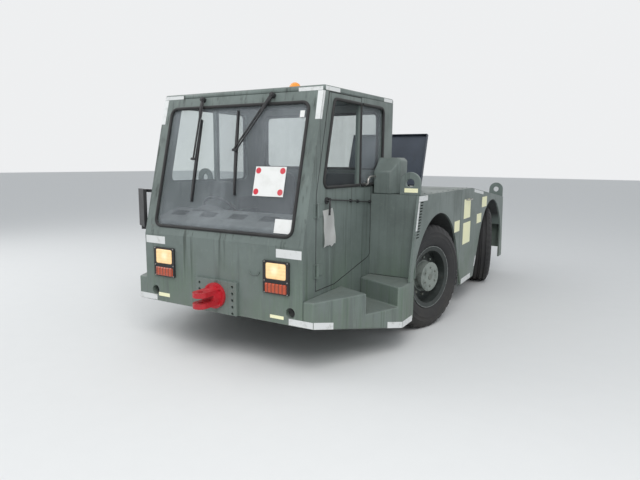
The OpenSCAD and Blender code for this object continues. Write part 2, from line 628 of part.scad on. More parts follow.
// Jaw on a base plate at the origin, reaching forwards
module tow_jaw(reach) difference() {
  union() {
    rotate([90, 0, 0]) cylinder(h = 25, r = 100);
    rotate([90, 0, 0]) translate([0, 0, 20]) cylinder(h = reach - 160, r1 = 76, r2 = 64);
    for (a = [45:90:315]) rotate([90, a, 0]) translate([88, 0, 20]) cylinder(h = 17, r = 10, $fn = 6);
    block(-60, 60, -reach + 60, -15, 22, 60);
    block(-60, 60, -reach + 60, -15, -60, -22);
    block(-58, 58, -reach + 150, -12, -58, 58);
    for (z = [22, -60]) translate([0, -reach + 60, z]) cylinder(h = 38, r = 60);
  }
  translate([0, -reach + 60, -70]) cylinder(h = 140, d = tow_pin_d);
}
module front_coupling() color(red) translate([0, -coupling_t, tow_z]) tow_jaw(tow_reach - coupling_t);
hitch_base_y = tail_y - 60;
module rear_coupling() color("dimgray") translate([0, hitch_base_y, tow_z]) rotate([0, 0, 180]) tow_jaw(hitch_y - hitch_base_y);

lamp_lip = 14;
head_w = 172;
head_h = 116;
head_z = lamp_z + 47;
turn_w = 188;
turn_h = 70;
turn_z = lamp_z - 79;
// Rounded lens or pocket round (lamp_x, z) from y0 to y1
module lamp_slab(z, w, h, r, y0, y1) translate([lamp_x, 0, z]) cross_slab(y0, y1) round_rect(-w / 2, -h / 2, w / 2, h / 2, r);
// Lens with a bevelled front
module lens(z, w, h, r) hull() {
  lamp_slab(z, w, h, r, -lamp_lip - 1, -4);
  lamp_slab(z, w - 16, h - 16, r - 6, -lamp_lip - 6, -4);
}
module lamps() color(black) both() difference() {
  union() {
    lamp_slab(lamp_z, lamp_w, lamp_h, 8, -lamp_lip, 0);
    block(lamp_x - lamp_w / 2 + 12, lamp_x + lamp_w / 2 - 12, -1, wall_t, lamp_z - lamp_h / 2 + 12, lamp_z + lamp_h / 2 - 12);
  }
  lamp_slab(head_z, head_w + 4, head_h + 4, 16, -lamp_lip - 1, -4);
  lamp_slab(turn_z, turn_w + 4, turn_h + 4, 12, -lamp_lip - 1, -4);
}
module headlamps() color([0.95, 0.9, 0.7]) both() lens(head_z, head_w, head_h, 14);
module indicators() color(orange) both() lens(turn_z, turn_w, turn_h, 10);
module tail_lamps() color(red) both()
  side_slab(1010, 1150) polygon([[tail_at(620) + 0.2, 620], [tail_at(520) + 0.2, 520], [tail_at(520) + 30, 520],
    [tail_at(520) + 30, 620]]);
beacon_y = 1110;
module beacon() color("orange") translate([0, beacon_y, roof_at(beacon_y)]) {
  difference() {
    translate([0, 0, -6]) cylinder(h = 41, r = 58);
    rotate([atan(roof_slope), 0, 0]) block(-70, 70, -70, 70, -40, 0.2);
  }
  translate([0, 0, 35]) cylinder(h = 80, r = 52);
  translate([0, 0, 115]) cylinder(h = 22, r1 = 52, r2 = 40);
  translate([0, 0, 137]) cylinder(h = 13, r1 = 40, r2 = 16);
}

// Flat bar in the windscreen's plane from p to q, each (x, distance up the rake)
module screen_bar(p, q, w, d0, d1) raked(0) translate([p[0], 0, p[1]])
  rotate([0, atan2(q[0] - p[0], q[1] - p[1]), 0]) block(-w / 2, w / 2, d0, d1, 0, norm(q - p));
module screen_boss(p, r, d0, d1) raked(0) translate([p[0], d1, p[1]]) rotate([90, 0, 0]) cylinder(h = d1 - d0, r = r);
blade_d = 12;
// Wiper: pivot, elbow on the blade's holder, and both ends of the blade
module wiper(pivot, elbow, top, foot, twin) {
  screen_boss(pivot, 20, -34, 0);
  for (x = twin ? [-13, 13] : [0]) screen_bar(pivot + [x, 0], elbow + [x, 0], 10, -30, -20);
  screen_bar(elbow - [22, 0], elbow + [22, 0], 16, -32, -11);
  screen_bar(foot, top, 12, -12, 0);
  screen_bar(foot, top, 7, -1, blade_d);
}
module wipers() color(black) {
  wiper([-333, 1119], [-338, 630], [-328, 957], [-311, 286], false);
  wiper([350, 1119], [71, 701], [35, 1017], [111, 353], true);
}
mirror_x = -905;
module side_mirror() color(black) {
  translate([mirror_x, 100, brow_z + 40]) rotate([0, 0, -29]) block(-90, 90, -14, 14, 0, 320);
  for (z = [brow_z + 15, brow_z + 335]) block(mirror_x - 8, -half_cab, 90, 110, z, z + 24);
  translate([mirror_x, 100, brow_z + 15]) cylinder(h = 24, r = 18);
}
hood_x = half_cab + 14;
module intake_hood() color(green)
  hull() {
    block(hood_x, hood_x + 155, wing_y + 10, wing_y + 12, deck_z, deck_z + 190);
    block(hood_x, hood_x + 210, wing_y + 110, wing_y + 270, deck_z, deck_z + 290);
    block(hood_x, hood_x + 180, wing_y + 125, wing_y + 270, deck_z, deck_z + 312);
  }
module column_axis() translate([-380, 520, 1080]) rotate([-55, 0, 0]) children();
module dash() color([0.2, 0.2, 0.22])
  difference() {
    side_slab(-half_cab + wall_t, half_cab - wall_t)
      polygon([[wall_t, 700], [wall_t, brow_z - 5], [90, brow_z + 90], [300, brow_z + 150], [380, brow_z + 90], [330, 700]]);
    column_axis() translate([0, 0, -260]) cylinder(h = 300, r = 22.3);
  }
module steering_wheel() color(black) column_axis() {
  rotate_extrude($fn = 48) translate([190, 0]) circle(14, $fn = 16);
  cylinder(h = 24, r = 50, center = true);
  for (a = [90, 210, 330]) rotate([0, 0, a]) translate([0, -12, -6]) cube([190, 24, 12]);
  translate([0, 0, -255]) cylinder(h = 255, r = 22);
}
seat_back_y = cab_back_y - 172;
module seats() color([0.15, 0.15, 0.16]) for (x = [-380, 380]) {
  block(x - 170, x + 170, seat_back_y - 500, seat_back_y - 100, floor_z, floor_z + 180);
  block(x - 230, x + 230, seat_back_y - 560, seat_back_y - 90, floor_z + 180, floor_z + 320);
  block(x - 225, x + 225, seat_back_y - 120, seat_back_y, floor_z + 300, floor_z + 850);
}

place() chassis();
place() nose();
place() cab_floor();
place() windscreen_frame();
place() cab_sides();
place() cab_back();
place() roof();
place() cab_glass();
place() door_left();
place() door_right();
place() door_glass_left();
place() door_glass_right();
place() skirts();
place() side_plates();
place() wheel_housings();
place() lugs();
place() deck();
place() tail();
place() hatch_left();
place() hatch_right();
place() engine();
place() engine_bay_fittings();
place() driveline();
place() axle_front();
place() axle_rear();
place() knuckle_fl();
place() knuckle_fr();
place() knuckle_rl();
place() knuckle_rr();
place() wheel_fl();
place() wheel_fr();
place() wheel_rl();
place() wheel_rr();
place() tyre_fl();
place() tyre_fr();
place() tyre_rl();
place() tyre_rr();
place() tie_rod_front();
place() tie_rod_rear();
place() coupling_plate();
place() front_coupling();
place() rear_coupling();
place() lamps();
place() headlamps();
place() indicators();
place() tail_lamps();
place() beacon();
place() wipers();
place() side_mirror();
place() intake_hood();
place() dash();
place() steering_wheel();
place() seats();
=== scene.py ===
"""Looks of the aircraft pushback tractor: finishes, glazing trim, lamps, tape, tyres and cab fittings.

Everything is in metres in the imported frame. Places along the tractor are given as the distance behind the
front face, and turned into the frame's own y by Layout.spot.
"""

from __future__ import annotations

import json
import logging
import math
import random
from dataclasses import dataclass, field
from enum import Enum
from typing import Callable, Iterable, Sequence

import bmesh
import bpy
from mathutils import Matrix, Vector, geometry

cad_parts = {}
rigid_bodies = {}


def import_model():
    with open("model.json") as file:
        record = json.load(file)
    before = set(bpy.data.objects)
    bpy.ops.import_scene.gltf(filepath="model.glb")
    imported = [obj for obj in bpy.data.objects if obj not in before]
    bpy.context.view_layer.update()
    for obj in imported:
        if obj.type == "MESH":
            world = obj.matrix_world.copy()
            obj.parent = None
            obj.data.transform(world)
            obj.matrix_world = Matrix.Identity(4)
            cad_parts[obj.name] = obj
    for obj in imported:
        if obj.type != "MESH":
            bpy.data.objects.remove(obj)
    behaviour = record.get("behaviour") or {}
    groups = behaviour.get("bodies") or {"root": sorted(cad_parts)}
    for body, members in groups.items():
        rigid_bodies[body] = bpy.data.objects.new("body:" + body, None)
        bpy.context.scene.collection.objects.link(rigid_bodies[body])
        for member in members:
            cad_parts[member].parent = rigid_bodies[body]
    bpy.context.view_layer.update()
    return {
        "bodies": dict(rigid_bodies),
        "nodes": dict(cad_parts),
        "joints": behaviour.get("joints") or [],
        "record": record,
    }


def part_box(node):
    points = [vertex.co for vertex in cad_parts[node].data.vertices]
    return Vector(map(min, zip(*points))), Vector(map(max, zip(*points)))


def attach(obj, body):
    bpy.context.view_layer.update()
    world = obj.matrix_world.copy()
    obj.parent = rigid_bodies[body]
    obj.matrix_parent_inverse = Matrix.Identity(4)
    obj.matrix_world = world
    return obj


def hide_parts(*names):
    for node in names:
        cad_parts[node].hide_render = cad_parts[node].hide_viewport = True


LOG = logging.getLogger("tractor")
Colour = tuple[float, float, float]
Point = tuple[float, float, float]
Flat = tuple[float, float]
Row = list[bmesh.types.BMVert]

HALF_WIDTH = 1.22
UP = Vector((0, 0, 1))
AHEAD = Vector((0, -1, 0))
ASKEW = Vector((0.31, 0.47, 0.83))
MIX_FIRST, MIX_SECOND, MIX_COLOUR = 6, 7, 2


class Side(Enum):
    """Which side of the tractor a piece is on, seen by its driver."""

    LEFT = 1
    RIGHT = -1

    @property
    def word(self) -> str:
        """The side as the names of nodes and pieces say it."""
        return self.name.lower()


class Value:
    """A shader socket that can be used in Python expressions."""

    def __init__(self, tree: Tree, socket: bpy.types.NodeSocket) -> None:
        """Keeps the socket and the tree it belongs to."""
        self.tree = tree
        self.socket = socket

    def __add__(self, other: object) -> Value:
        """Sum."""
        return self.tree.maths("ADD", self, other)

    def __radd__(self, other: object) -> Value:
        """Sum, reflected."""
        return self.tree.maths("ADD", other, self)

    def __sub__(self, other: object) -> Value:
        """Difference."""
        return self.tree.maths("SUBTRACT", self, other)

    def __rsub__(self, other: object) -> Value:
        """Difference, reflected."""
        return self.tree.maths("SUBTRACT", other, self)

    def __mul__(self, other: object) -> Value:
        """Product."""
        return self.tree.maths("MULTIPLY", self, other)

    def __rmul__(self, other: object) -> Value:
        """Product, reflected."""
        return self.tree.maths("MULTIPLY", other, self)

    def __pow__(self, other: object) -> Value:
        """Power."""
        return self.tree.maths("POWER", self, other)


class Tree:
    """The node tree of a material or of the world, built from expressions."""

    def __init__(self, owner: bpy.types.Material | bpy.types.World, output: str = "ShaderNodeOutputMaterial") -> None:
        """Empties the owner's tree and adds its output."""
        self.owner = owner
        owner.use_nodes = True
        owner.node_tree.nodes.clear()
        self.output = owner.node_tree.nodes.new(output)

    def node(self, kind: str, settings: dict | None = None, sockets: dict | None = None, out: int | str = 0) -> Value:
        """Adds a node.

        Args:
            kind: The node's type.
            settings: Its properties, set first.
            sockets: Values or links for its inputs, by name or number.
            out: The output that is returned.

        Returns:
            The chosen output.
        """
        made = self.owner.node_tree.nodes.new(kind)
        for key, value in (settings or {}).items():
            setattr(made, key, value)
        for key, value in (sockets or {}).items():
            target = made.inputs[key]
            if isinstance(value, Value):
                self.owner.node_tree.links.new(value.socket, target)
            else:
                target.default_value = (*value, 1.0) if target.type == "RGBA" else value
        return Value(self, made.outputs[out])

    def maths(self, operation: str, *values: object, clamp: bool = False) -> Value:
        """Adds one Math node."""
        return self.node("ShaderNodeMath", {"operation": operation, "use_clamp": clamp}, dict(enumerate(values)))

    def vectors(self, operation: str, *values: object, out: int | str = 0) -> Value:
        """Adds one Vector Math node."""
        return self.node("ShaderNodeVectorMath", {"operation": operation}, dict(enumerate(values)), out)

    def place(self, stretch: Point = (1.0, 1.0, 1.0)) -> Value:
        """Position in the frame, stretched along each axis."""
        coords = self.node("ShaderNodeTexCoord", out="Object")
        return self.node("ShaderNodeMapping", {"vector_type": "POINT"}, {"Vector": coords, "Scale": stretch})

    def part(self, vector: Value, axis: str) -> Value:
        """One component of a vector, by the letter X, Y or Z."""
        return self.node("ShaderNodeSeparateXYZ", None, {0: vector}, axis)

    def facing(self) -> Value:
        """How much the surface faces up, from -1 to 1."""
        return self.part(self.node("ShaderNodeNewGeometry", out="Normal"), "Z")

    def noise(self, where: Value, scale: float, detail: float = 4.0, rough: float = 0.55) -> Value:
        """Fractal noise from 0 to 1."""
        return self.node("ShaderNodeTexNoise", None,
                         {"Vector": where, "Scale": scale, "Detail": detail, "Roughness": rough})

    def runs(self, across: float, down: float, detail: float, rough: float) -> Value:
        """Noise drawn out into upright runs, from its scales across them and down them."""
        return self.noise(self.place((across, across, down)), 1.0, detail, rough)

    def band(self, value: Value, low: float, high: float, start: float = 0.0, end: float = 1.0) -> Value:
        """Smooth step of a value between two limits."""
        return self.node("ShaderNodeMapRange", {"interpolation_type": "SMOOTHSTEP", "clamp": True},
                         {"Value": value, "From Min": low, "From Max": high, "To Min": start, "To Max": end})

    def coats(self, base: object, *coats: tuple[object, object]) -> Value:
        """Lays colours over a base in turn, each with the share that it covers."""
        for colour, share in coats:
            base = self.node("ShaderNodeMix", {"data_type": "RGBA"},
                             {0: share, MIX_FIRST: base, MIX_SECOND: colour}, MIX_COLOUR)
        return base

    def blend(self, share: object, first: Value, second: Value) -> Value:
        """Blends two shaders."""
        return self.node("ShaderNodeMixShader", None, {0: share, 1: first, 2: second})

    def bump(self, height: Value, strength: float, distance: float, edge: float = 0.0) -> Value:
        """Bump from a height, over a normal that is rounded off at plate edges if an edge's radius is given."""
        sockets = {"Height": height, "Strength": strength, "Distance": distance}
        if edge:
            sockets["Normal"] = self.node("ShaderNodeBevel", {"samples": 3}, {"Radius": edge})
        return self.node("ShaderNodeBump", None, sockets)

    def shade(self, **sockets: object) -> Value:
        """Adds the surface shader; underscores in names stand for spaces."""
        return self.node("ShaderNodeBsdfPrincipled", None, {k.replace("_", " "): v for k, v in sockets.items()})

    def finish(self, surface: Value) -> bpy.types.Material | bpy.types.World:
        """Links the surface to the output and returns the tree's owner."""
        self.owner.node_tree.links.new(surface.socket, self.output.inputs["Surface"])
        return self.owner


def shaded(colour: Colour, factor: float) -> Colour:
    """A colour made darker or lighter."""
    return tuple(c * factor for c in colour)


@dataclass(frozen=True)
class Finish:
    """What every finish has: the name of its material and a surface."""

    name: str

    def make(self) -> bpy.types.Material:
        """Builds the material."""
        tree = Tree(bpy.data.materials.new(self.name))
        return tree.finish(self.surface(tree, tree.place()))

    def surface(self, t: Tree, where: Value) -> Value:
        """Builds the surface shader from the tree and the position in the frame."""
        raise NotImplementedError


@dataclass(frozen=True)
class PlatePaint(Finish):
    """Brushed-on matt paint on plate: upright streaks, rust spots, wear and dust, with moss and stains if damp."""

    colour: Colour
    worn: Colour = (0.25, 0.28, 0.255)
    grime: Colour = (0.025, 0.03, 0.024)
    rust: Colour = (0.12, 0.05, 0.025)
    mud: Colour = (0.19, 0.18, 0.15)
    settled: Colour = (0.24, 0.25, 0.22)
    shadow: Colour = (0.016, 0.016, 0.017)
    rough: float = 0.46
    streaks: float = 0.55
    rusting: float = 0.35
    dust: float = 0.3
    edge: float = 0.004
    damp: float = 0.0

    def surface(self, t: Tree, where: Value) -> Value:
        """Lays wear, streaks, rust, dirt and dust over the paint."""
        height = t.part(where, "Z")
        clouds = t.noise(where, 2.2, 5.0, 0.6)
        grain = t.noise(where, 34.0, 3.0)
        upright = t.maths("SUBTRACT", 1.0, t.facing() ** 2.0, clamp=True)
        runs = t.runs(26.0, 0.9, 4.0, 0.6)
        ahead = t.band(t.part(where, "Y"), -1.22, -1.3, 0.35, 1.0) if self.damp else 1.0
        streaked = t.band(runs, 0.54, 0.72) * upright * self.streaks * ahead
        pale_runs = t.band(t.runs(33.0, 1.3, 3.0, 0.5), 0.6, 0.75) * upright
        spots = t.band(t.noise(where, 21.0, 6.0, 0.72), 0.66, 0.7)
        patches = t.band(t.noise(where, 3.1, 3.0), 0.5, 0.62)
        low = t.band(height, 0.75, 0.15) * t.band(clouds, 0.2, 0.6)
        tone = t.coats(self.colour,
                       (shaded(self.colour, 0.72), t.band(clouds, 0.35, 0.7)),
                       (self.worn, t.band(grain, 0.55, 0.8) * 0.22),
                       (self.grime, streaked),
                       (self.worn, pale_runs * (self.streaks * 0.45) * ahead),
                       (self.rust, spots * patches * self.rusting),
                       (self.mud, low * self.dust))
        if self.damp:
            mossy = t.band(height, 1.05, 0.5) * t.band(clouds * 0.5 + runs * 0.5, 0.38, 0.62) * upright
            stained = t.band(t.runs(9.0, 0.55, 5.0, 0.65), 0.56, 0.66) * upright
            tone = t.coats(tone,
                           (tuple(c * f for c, f in zip(self.colour, (0.95, 1.12, 0.88))), mossy * self.damp),
                           (shaded(self.colour, 0.42), stained * (self.damp * 0.75) * ahead),
                           (self.shadow, self.wheel_well(t, where) * t.band(grain, 0.2, 0.8, 1.0, 0.8)))
        top = t.band(t.facing(), 0.55, 0.95) * t.band(grain + clouds * 0.5, 0.5, 0.9)
        gloss = t.band(clouds + streaked * 0.4, 0.3, 0.9, self.rough - 0.07, self.rough + 0.16)
        ripple = t.noise(where, 3.5, 2.0, 0.4) * 0.8 + grain * 0.05
        return t.shade(Base_Color=t.coats(tone, (self.settled, top * (self.dust * 0.8))), Roughness=gloss,
                       Normal=t.bump(ripple, 0.25, 0.01, self.edge), IOR=1.46)

    @staticmethod
    def wheel_well(t: Tree, where: Value) -> Value:
        """Share of upright plate inside the side plates and under the deck, from the front wheels to the rear."""
        aside = t.maths("ABSOLUTE", t.part(where, "X"))
        along = t.part(where, "Y")
        inside = t.band(aside, 1.206, 1.198) * t.band(t.part(where, "Z"), 1.2, 1.17)
        return inside * (t.band(along, -1.2, -1.15) * t.band(along, 2.25, 2.15)) * t.band(t.facing(), 0.6, 0.3)


@dataclass(frozen=True)
class WheelPaint(Finish):
    """Painted wheel: pale dusty hub, dirty dark dish, and a painted highlight along the flange's edge."""

    centre: Point
    axle: Point
    hub: Colour = (0.235, 0.265, 0.24)
    dish: Colour = (0.028, 0.034, 0.032)
    # colour of the painted highlight along the flange's edge
    rubbed: Colour = (0.3, 0.32, 0.31)
    grease: Colour = (0.03, 0.03, 0.025)
    rust: Colour = (0.13, 0.06, 0.03)

    def surface(self, t: Tree, where: Value) -> Value:
        """Paints by the distance from the axle."""
        arm = t.vectors("SUBTRACT", where, self.centre)
        radius = t.vectors("LENGTH", t.vectors("CROSS_PRODUCT", arm, self.axle), out="Value")
        clouds = t.noise(where, 9.0, 5.0, 0.62)
        grain = t.noise(where, 46.0, 4.0, 0.7)
        tone = t.coats(self.hub,
                       (self.dish, t.band(radius + clouds * 0.02, 0.15, 0.162)),
                       (shaded(self.dish, 2.1), t.band(clouds, 0.5, 0.75) * 0.8),
                       # painted highlight: a lighter ring along the flange's edge, broken up by grain
                       (self.rubbed, t.band(radius, 0.2835, 0.2895) * t.band(grain, 0.3, 0.6) * 0.8),
                       (self.grease, t.band(grain, 0.58, 0.72) * 0.6),
                       (self.rust, t.band(grain * clouds, 0.36, 0.44) * 0.6))
        return t.shade(Base_Color=tone, Roughness=t.band(clouds, 0.3, 0.8, 0.45, 0.75),
                       Normal=t.bump(grain, 0.2, 0.002, 0.004))


@dataclass(frozen=True)
class TyreRubber(Finish):
    """Weathered rubber, paler in patches and dusty low down."""

    name: str = "tyre_rubber_worn"
    colour: Colour = (0.018, 0.018, 0.0195)
    faded: Colour = (0.038, 0.037, 0.036)
    dust: Colour = (0.06, 0.055, 0.047)

    def surface(self, t: Tree, where: Value) -> Value:
        """Fades and dusts the rubber."""
        clouds = t.noise(where, 5.0, 5.0, 0.65)
        low = t.band(t.part(where, "Z"), 0.6, 0.02) * t.band(clouds, 0.3, 0.7)
        tone = t.coats(self.colour, (self.faded, t.band(clouds, 0.4, 0.75)), (self.dust, low * 0.4))
        return t.shade(Base_Color=tone, Roughness=t.band(clouds, 0.3, 0.8, 0.62, 0.86),
                       Normal=t.bump(t.noise(where, 90.0, 3.0), 0.2, 0.002))


@dataclass(frozen=True)
class Moulded(Finish):
    """Plastic or rubber mouldings: a plain tone with grain, scuffs and some dust on top."""

    colour: Colour
    rough: float = 0.5
    grain: float = 240.0
    depth: float = 0.12
    dust: float = 0.25
    dust_tone: Colour = (0.22, 0.22, 0.2)

    def surface(self, t: Tree, where: Value) -> Value:
        """Scuffs and dusts the moulding."""
        clouds = t.noise(where, 9.0, 4.0, 0.6)
        tone = t.coats(self.colour,
                       (tuple(min(1.0, c * 1.7 + 0.01) for c in self.colour), t.band(clouds, 0.45, 0.75)),
                       (self.dust_tone, t.band(t.facing(), 0.5, 1.0) * t.band(clouds, 0.3, 0.7) * self.dust))
        return t.shade(Base_Color=tone, Roughness=t.band(clouds, 0.3, 0.7, self.rough - 0.06, self.rough + 0.1),
                       Normal=t.bump(t.noise(where, self.grain, 2.0), self.depth, 0.001))


@dataclass(frozen=True)
class WindowGlass(Finish):
    """Flat safety glass under a patchy film of dust with painted sky reflection in it, and shinier when seen at a
    slant.
    """

    name: str = "window_glass_clean"
    least: float = 0.02
    most: float = 0.07
    tint: Colour = (0.93, 0.95, 0.945)
    # pale blue-grey of the film: dust, with painted sky reflection
    film: Colour = (0.6, 0.64, 0.68)
    gloss: float = 0.03

    def surface(self, t: Tree, where: Value) -> Value:
        """Blends clear pane, shine, and the film of dust and painted sky reflection."""
        clouds = t.noise(where, 1.8, 5.0, 0.6)
        # share of the film, which is partly dust and partly painted sky reflection
        film = t.band(clouds * 0.7 + t.runs(30.0, 1.2, 4.0, 0.6) * 0.3, 0.35, 0.8, self.least, self.most)
        clear = t.node("ShaderNodeBsdfTransparent", None, {"Color": self.tint})
        pane = t.shade(Base_Color=(0.012, 0.015, 0.015), Roughness=0.03, IOR=1.52)
        slant = t.node("ShaderNodeLayerWeight", None, {"Blend": 0.5}, "Facing")
        coated = t.blend(slant ** 5.0 * 0.8 + self.gloss, clear, pane)
        return t.blend(film, coated, t.shade(Base_Color=self.film, Roughness=0.8))


@dataclass(frozen=True)
class LampLens(Finish):
    """Fluted or ribbed lamp glass that can be lit, brighter round a bulb at (distance aside, height)."""

    colour: Colour
    glow: Colour = (1.0, 0.8, 0.4)
    power: float = 0.0
    pitch: float = 0.012
    rough: float = 0.16
    core: Colour | None = None
    bulb: Flat = (0.0, 0.0)
    ribs: float = 0.0

    def surface(self, t: Tree, where: Value) -> Value:
        """Flutes the glass and lights it."""
        aside, height = t.part(where, "X"), t.part(where, "Z")
        flutes = t.maths("SINE", aside * (math.tau / self.pitch))
        rows = t.maths("SINE", height * (math.tau / self.pitch / 2.0))
        dirt = t.band(t.noise(where, 30.0, 4.0), 0.5, 0.75)
        tone = t.coats(self.colour, (shaded(self.colour, 0.55), dirt * 0.5),
                       (shaded(self.colour, 0.25), t.band(flutes, 0.1, 0.9) * self.ribs))
        glow = t.coats(self.glow, (shaded(self.glow, 0.72), t.band(flutes + rows, -1.2, 1.2)))
        if self.core:
            across = t.maths("ABSOLUTE", aside) - self.bulb[0]
            far = (across ** 2.0 + (height - self.bulb[1]) ** 2.0) ** 0.5
            glow = t.coats(glow, (self.core, t.band(far, 0.05, 0.004)))
        return t.shade(Base_Color=tone, Roughness=self.rough, Emission_Color=glow, Emission_Strength=self.power,
                       Coat_Weight=0.6, Coat_Roughness=0.08, Normal=t.bump(flutes + rows * 0.4, 0.35, 0.002))


@dataclass(frozen=True)
class ReflectiveTape(Finish):
    """White prismatic tape, scuffed and stained."""

    name: str = "reflective_tape_white"
    colour: Colour = (0.72, 0.73, 0.72)
    stain: Colour = (0.34, 0.34, 0.3)
    seam: Colour = (0.6, 0.62, 0.62)

    def surface(self, t: Tree, where: Value) -> Value:
        """Draws the cells and the stains."""
        cells = t.node("ShaderNodeTexVoronoi", {"feature": "DISTANCE_TO_EDGE"}, {"Vector": where, "Scale": 170.0})
        stain = t.band(t.noise(where, 14.0, 5.0, 0.7), 0.5, 0.8)
        tone = t.coats(self.colour, (self.stain, stain * 0.75), (self.seam, t.band(cells, 0.06, 0.0) * 0.4))
        return t.shade(Base_Color=tone, Roughness=t.band(stain, 0.0, 1.0, 0.28, 0.5),
                       Normal=t.bump(cells, 0.1, 0.001))


@dataclass(frozen=True)
class PrintedSheet(Finish):
    """Paper or vinyl, plain, a little faded and creased."""

    colour: Colour
    fade: Colour = (0.62, 0.62, 0.58)
    share: float = 0.4
    rough: float = 0.55

    def surface(self, t: Tree, where: Value) -> Value:
        """Fades and creases the sheet."""
        clouds = t.noise(where, 12.0, 5.0, 0.65)
        tone = t.coats(self.colour, (self.fade, t.band(clouds, 0.4, 0.75) * self.share))
        return t.shade(Base_Color=tone, Roughness=self.rough, Normal=t.bump(clouds, 0.25, 0.002))


@dataclass(frozen=True)
class BareSteel(Finish):
    """Dull bare steel with oxide freckles."""

    name: str = "bare_steel_dull"
    colour: Colour = (0.4, 0.39, 0.37)
    oxide: Colour = (0.13, 0.07, 0.04)

    def surface(self, t: Tree, where: Value) -> Value:
        """Freckles the steel."""
        freckle = t.band(t.noise(where, 60.0, 5.0, 0.7), 0.55, 0.68)
        return t.shade(Base_Color=t.coats(self.colour, (self.oxide, freckle * 0.7)),
                       Metallic=t.band(freckle, 0.0, 1.0, 0.95, 0.2),
                       Roughness=t.band(freckle, 0.0, 1.0, 0.32, 0.7))


@dataclass(frozen=True)
class SeatCloth(Finish):
    """Woven seat cloth with a fine check of threads."""

    name: str = "seat_cloth_woven"
    colour: Colour = (0.035, 0.037, 0.042)
    thread: float = 520.0

    def surface(self, t: Tree, where: Value) -> Value:
        """Weaves the cloth and wears it."""
        x, y, z = (t.part(where, axis) for axis in "XYZ")
        weave = t.maths("SINE", x * self.thread) * t.maths("SINE", (y + z) * self.thread)
        worn = t.band(t.noise(where, 7.0, 4.0), 0.5, 0.8)
        tone = t.coats(self.colour, (shaded(self.colour, 2.2), t.band(weave, -0.5, 0.8) * 0.4 + worn * 0.35))
        return t.shade(Base_Color=tone, Roughness=0.9, Sheen_Weight=0.3, Normal=t.bump(weave, 0.3, 0.001))


@dataclass(frozen=True)
class SilveredGlass(Finish):
    """Mirror glass with a little haze."""

    name: str = "mirror_face_silver"
    colour: Colour = (0.8, 0.82, 0.83)

    def surface(self, t: Tree, where: Value) -> Value:
        """Hazes the mirror."""
        haze = t.band(t.noise(where, 40.0, 4.0), 0.4, 0.8, 0.02, 0.09)
        return t.shade(Base_Color=self.colour, Metallic=1.0, Roughness=haze)


@dataclass(frozen=True)
class StudioFloor(Finish):
    """Pale floor that keeps the object's shadow."""

    name: str = "studio_floor_pale"
    colour: Colour = (0.78, 0.78, 0.77)

    def surface(self, t: Tree, where: Value) -> Value:
        """Mottles the floor."""
        tone = t.coats(self.colour, (shaded(self.colour, 0.97), t.noise(where, 6.0, 4.0)))
        return t.shade(Base_Color=tone, Roughness=0.9)


def dress(node: bpy.types.Object, material: bpy.types.Material) -> None:
    """Gives a CAD node its only material."""
    node.data.materials.clear()
    node.data.materials.append(material)


@dataclass
class Finishes:
    """Every finish of the tractor, made once and handed out by its slot in the record."""

    made: dict[str, bpy.types.Material] = field(default_factory=dict)

    def build(self) -> None:
        """Makes all materials."""
        for slot, finish in {
            "body_green": PlatePaint("body_green_weathered", (0.158, 0.192, 0.178), streaks=0.7, damp=0.55),
            "wheel_green": PlatePaint("wheel_green_dusty", (0.175, 0.2, 0.18), streaks=0.3, rusting=0.6, dust=0.6),
            "underframe_black": PlatePaint("underframe_black_dirty", (0.025, 0.025, 0.026),
                                           worn=(0.05, 0.05, 0.05), dust=0.5),
            "lid_slate": PlatePaint("lid_slate_satin", (0.052, 0.065, 0.087), worn=(0.08, 0.09, 0.11),
                                    streaks=0.25, rusting=0.15),
            "engine_paint": PlatePaint("engine_paint_oily", (0.06, 0.06, 0.062), rough=0.35, rusting=0.7),
            "coupling_red": PlatePaint("coupling_red_chipped", (0.5, 0.017, 0.028), worn=(0.72, 0.12, 0.1),
                                       grime=(0.09, 0.01, 0.01), rough=0.36, streaks=0.25, rusting=0.3, dust=0.05),
            "tyre_rubber": TyreRubber(),
            "lamp_black": Moulded("lamp_black_plastic", (0.014, 0.014, 0.015), 0.42),
            "seal_rubber": Moulded("seal_rubber_matt", (0.012, 0.012, 0.012), 0.6),
            "hose_rubber": Moulded("hose_rubber_ribbed", (0.016, 0.017, 0.02)),
            "dash_grey": Moulded("dash_grey_grained", (0.17, 0.175, 0.18), 0.62, 300.0, 0.25),
            "window_glass": WindowGlass(),
            # windscreen: thicker film of dust and painted sky reflection
            "screen_glass": WindowGlass("screen_glass_dusty", 0.1, 0.23),
            "lens_clear": LampLens("headlamp_lens_lit", (0.8, 0.58, 0.3), (1.0, 0.56, 0.22), 0.47,
                                   core=(1.0, 0.95, 0.75), bulb=(0.545, 0.775)),
            "lamp_amber": LampLens("indicator_lens_orange", (0.45, 0.055, 0.006), (0.9, 0.1, 0.02), 0.05, 0.032,
                                   ribs=0.8),
            "lamp_red": LampLens("tail_lens_red", (0.42, 0.01, 0.01), (0.8, 0.02, 0.02), 0.03, 0.01),
            "beacon_amber": LampLens("beacon_dome_amber", (0.85, 0.3, 0.02), (1.0, 0.35, 0.03), 0.15, 0.014),
            "seat_cloth": SeatCloth(),
            "bright_steel": BareSteel(),
            "mirror_face": SilveredGlass(),
            "tape": ReflectiveTape(),
            "paper": PrintedSheet("notice_paper_white", (0.8, 0.8, 0.78)),
            "label": PrintedSheet("label_vinyl_yellow", (0.95, 0.93, 0.6), (0.85, 0.84, 0.68)),
            "disc": PrintedSheet("notice_disc_red", (0.6, 0.03, 0.05), (0.6, 0.2, 0.2)),
            "floor": StudioFloor(),
        }.items():
            self.made[slot] = finish.make()

    def dress_nodes(self, frame: dict) -> None:
        """Gives each CAD node the finish of its slot.
        """
        for part in frame["record"]["subparts"]:
            dress(frame["nodes"][part["node"]], self.made[part["material_slot"]])


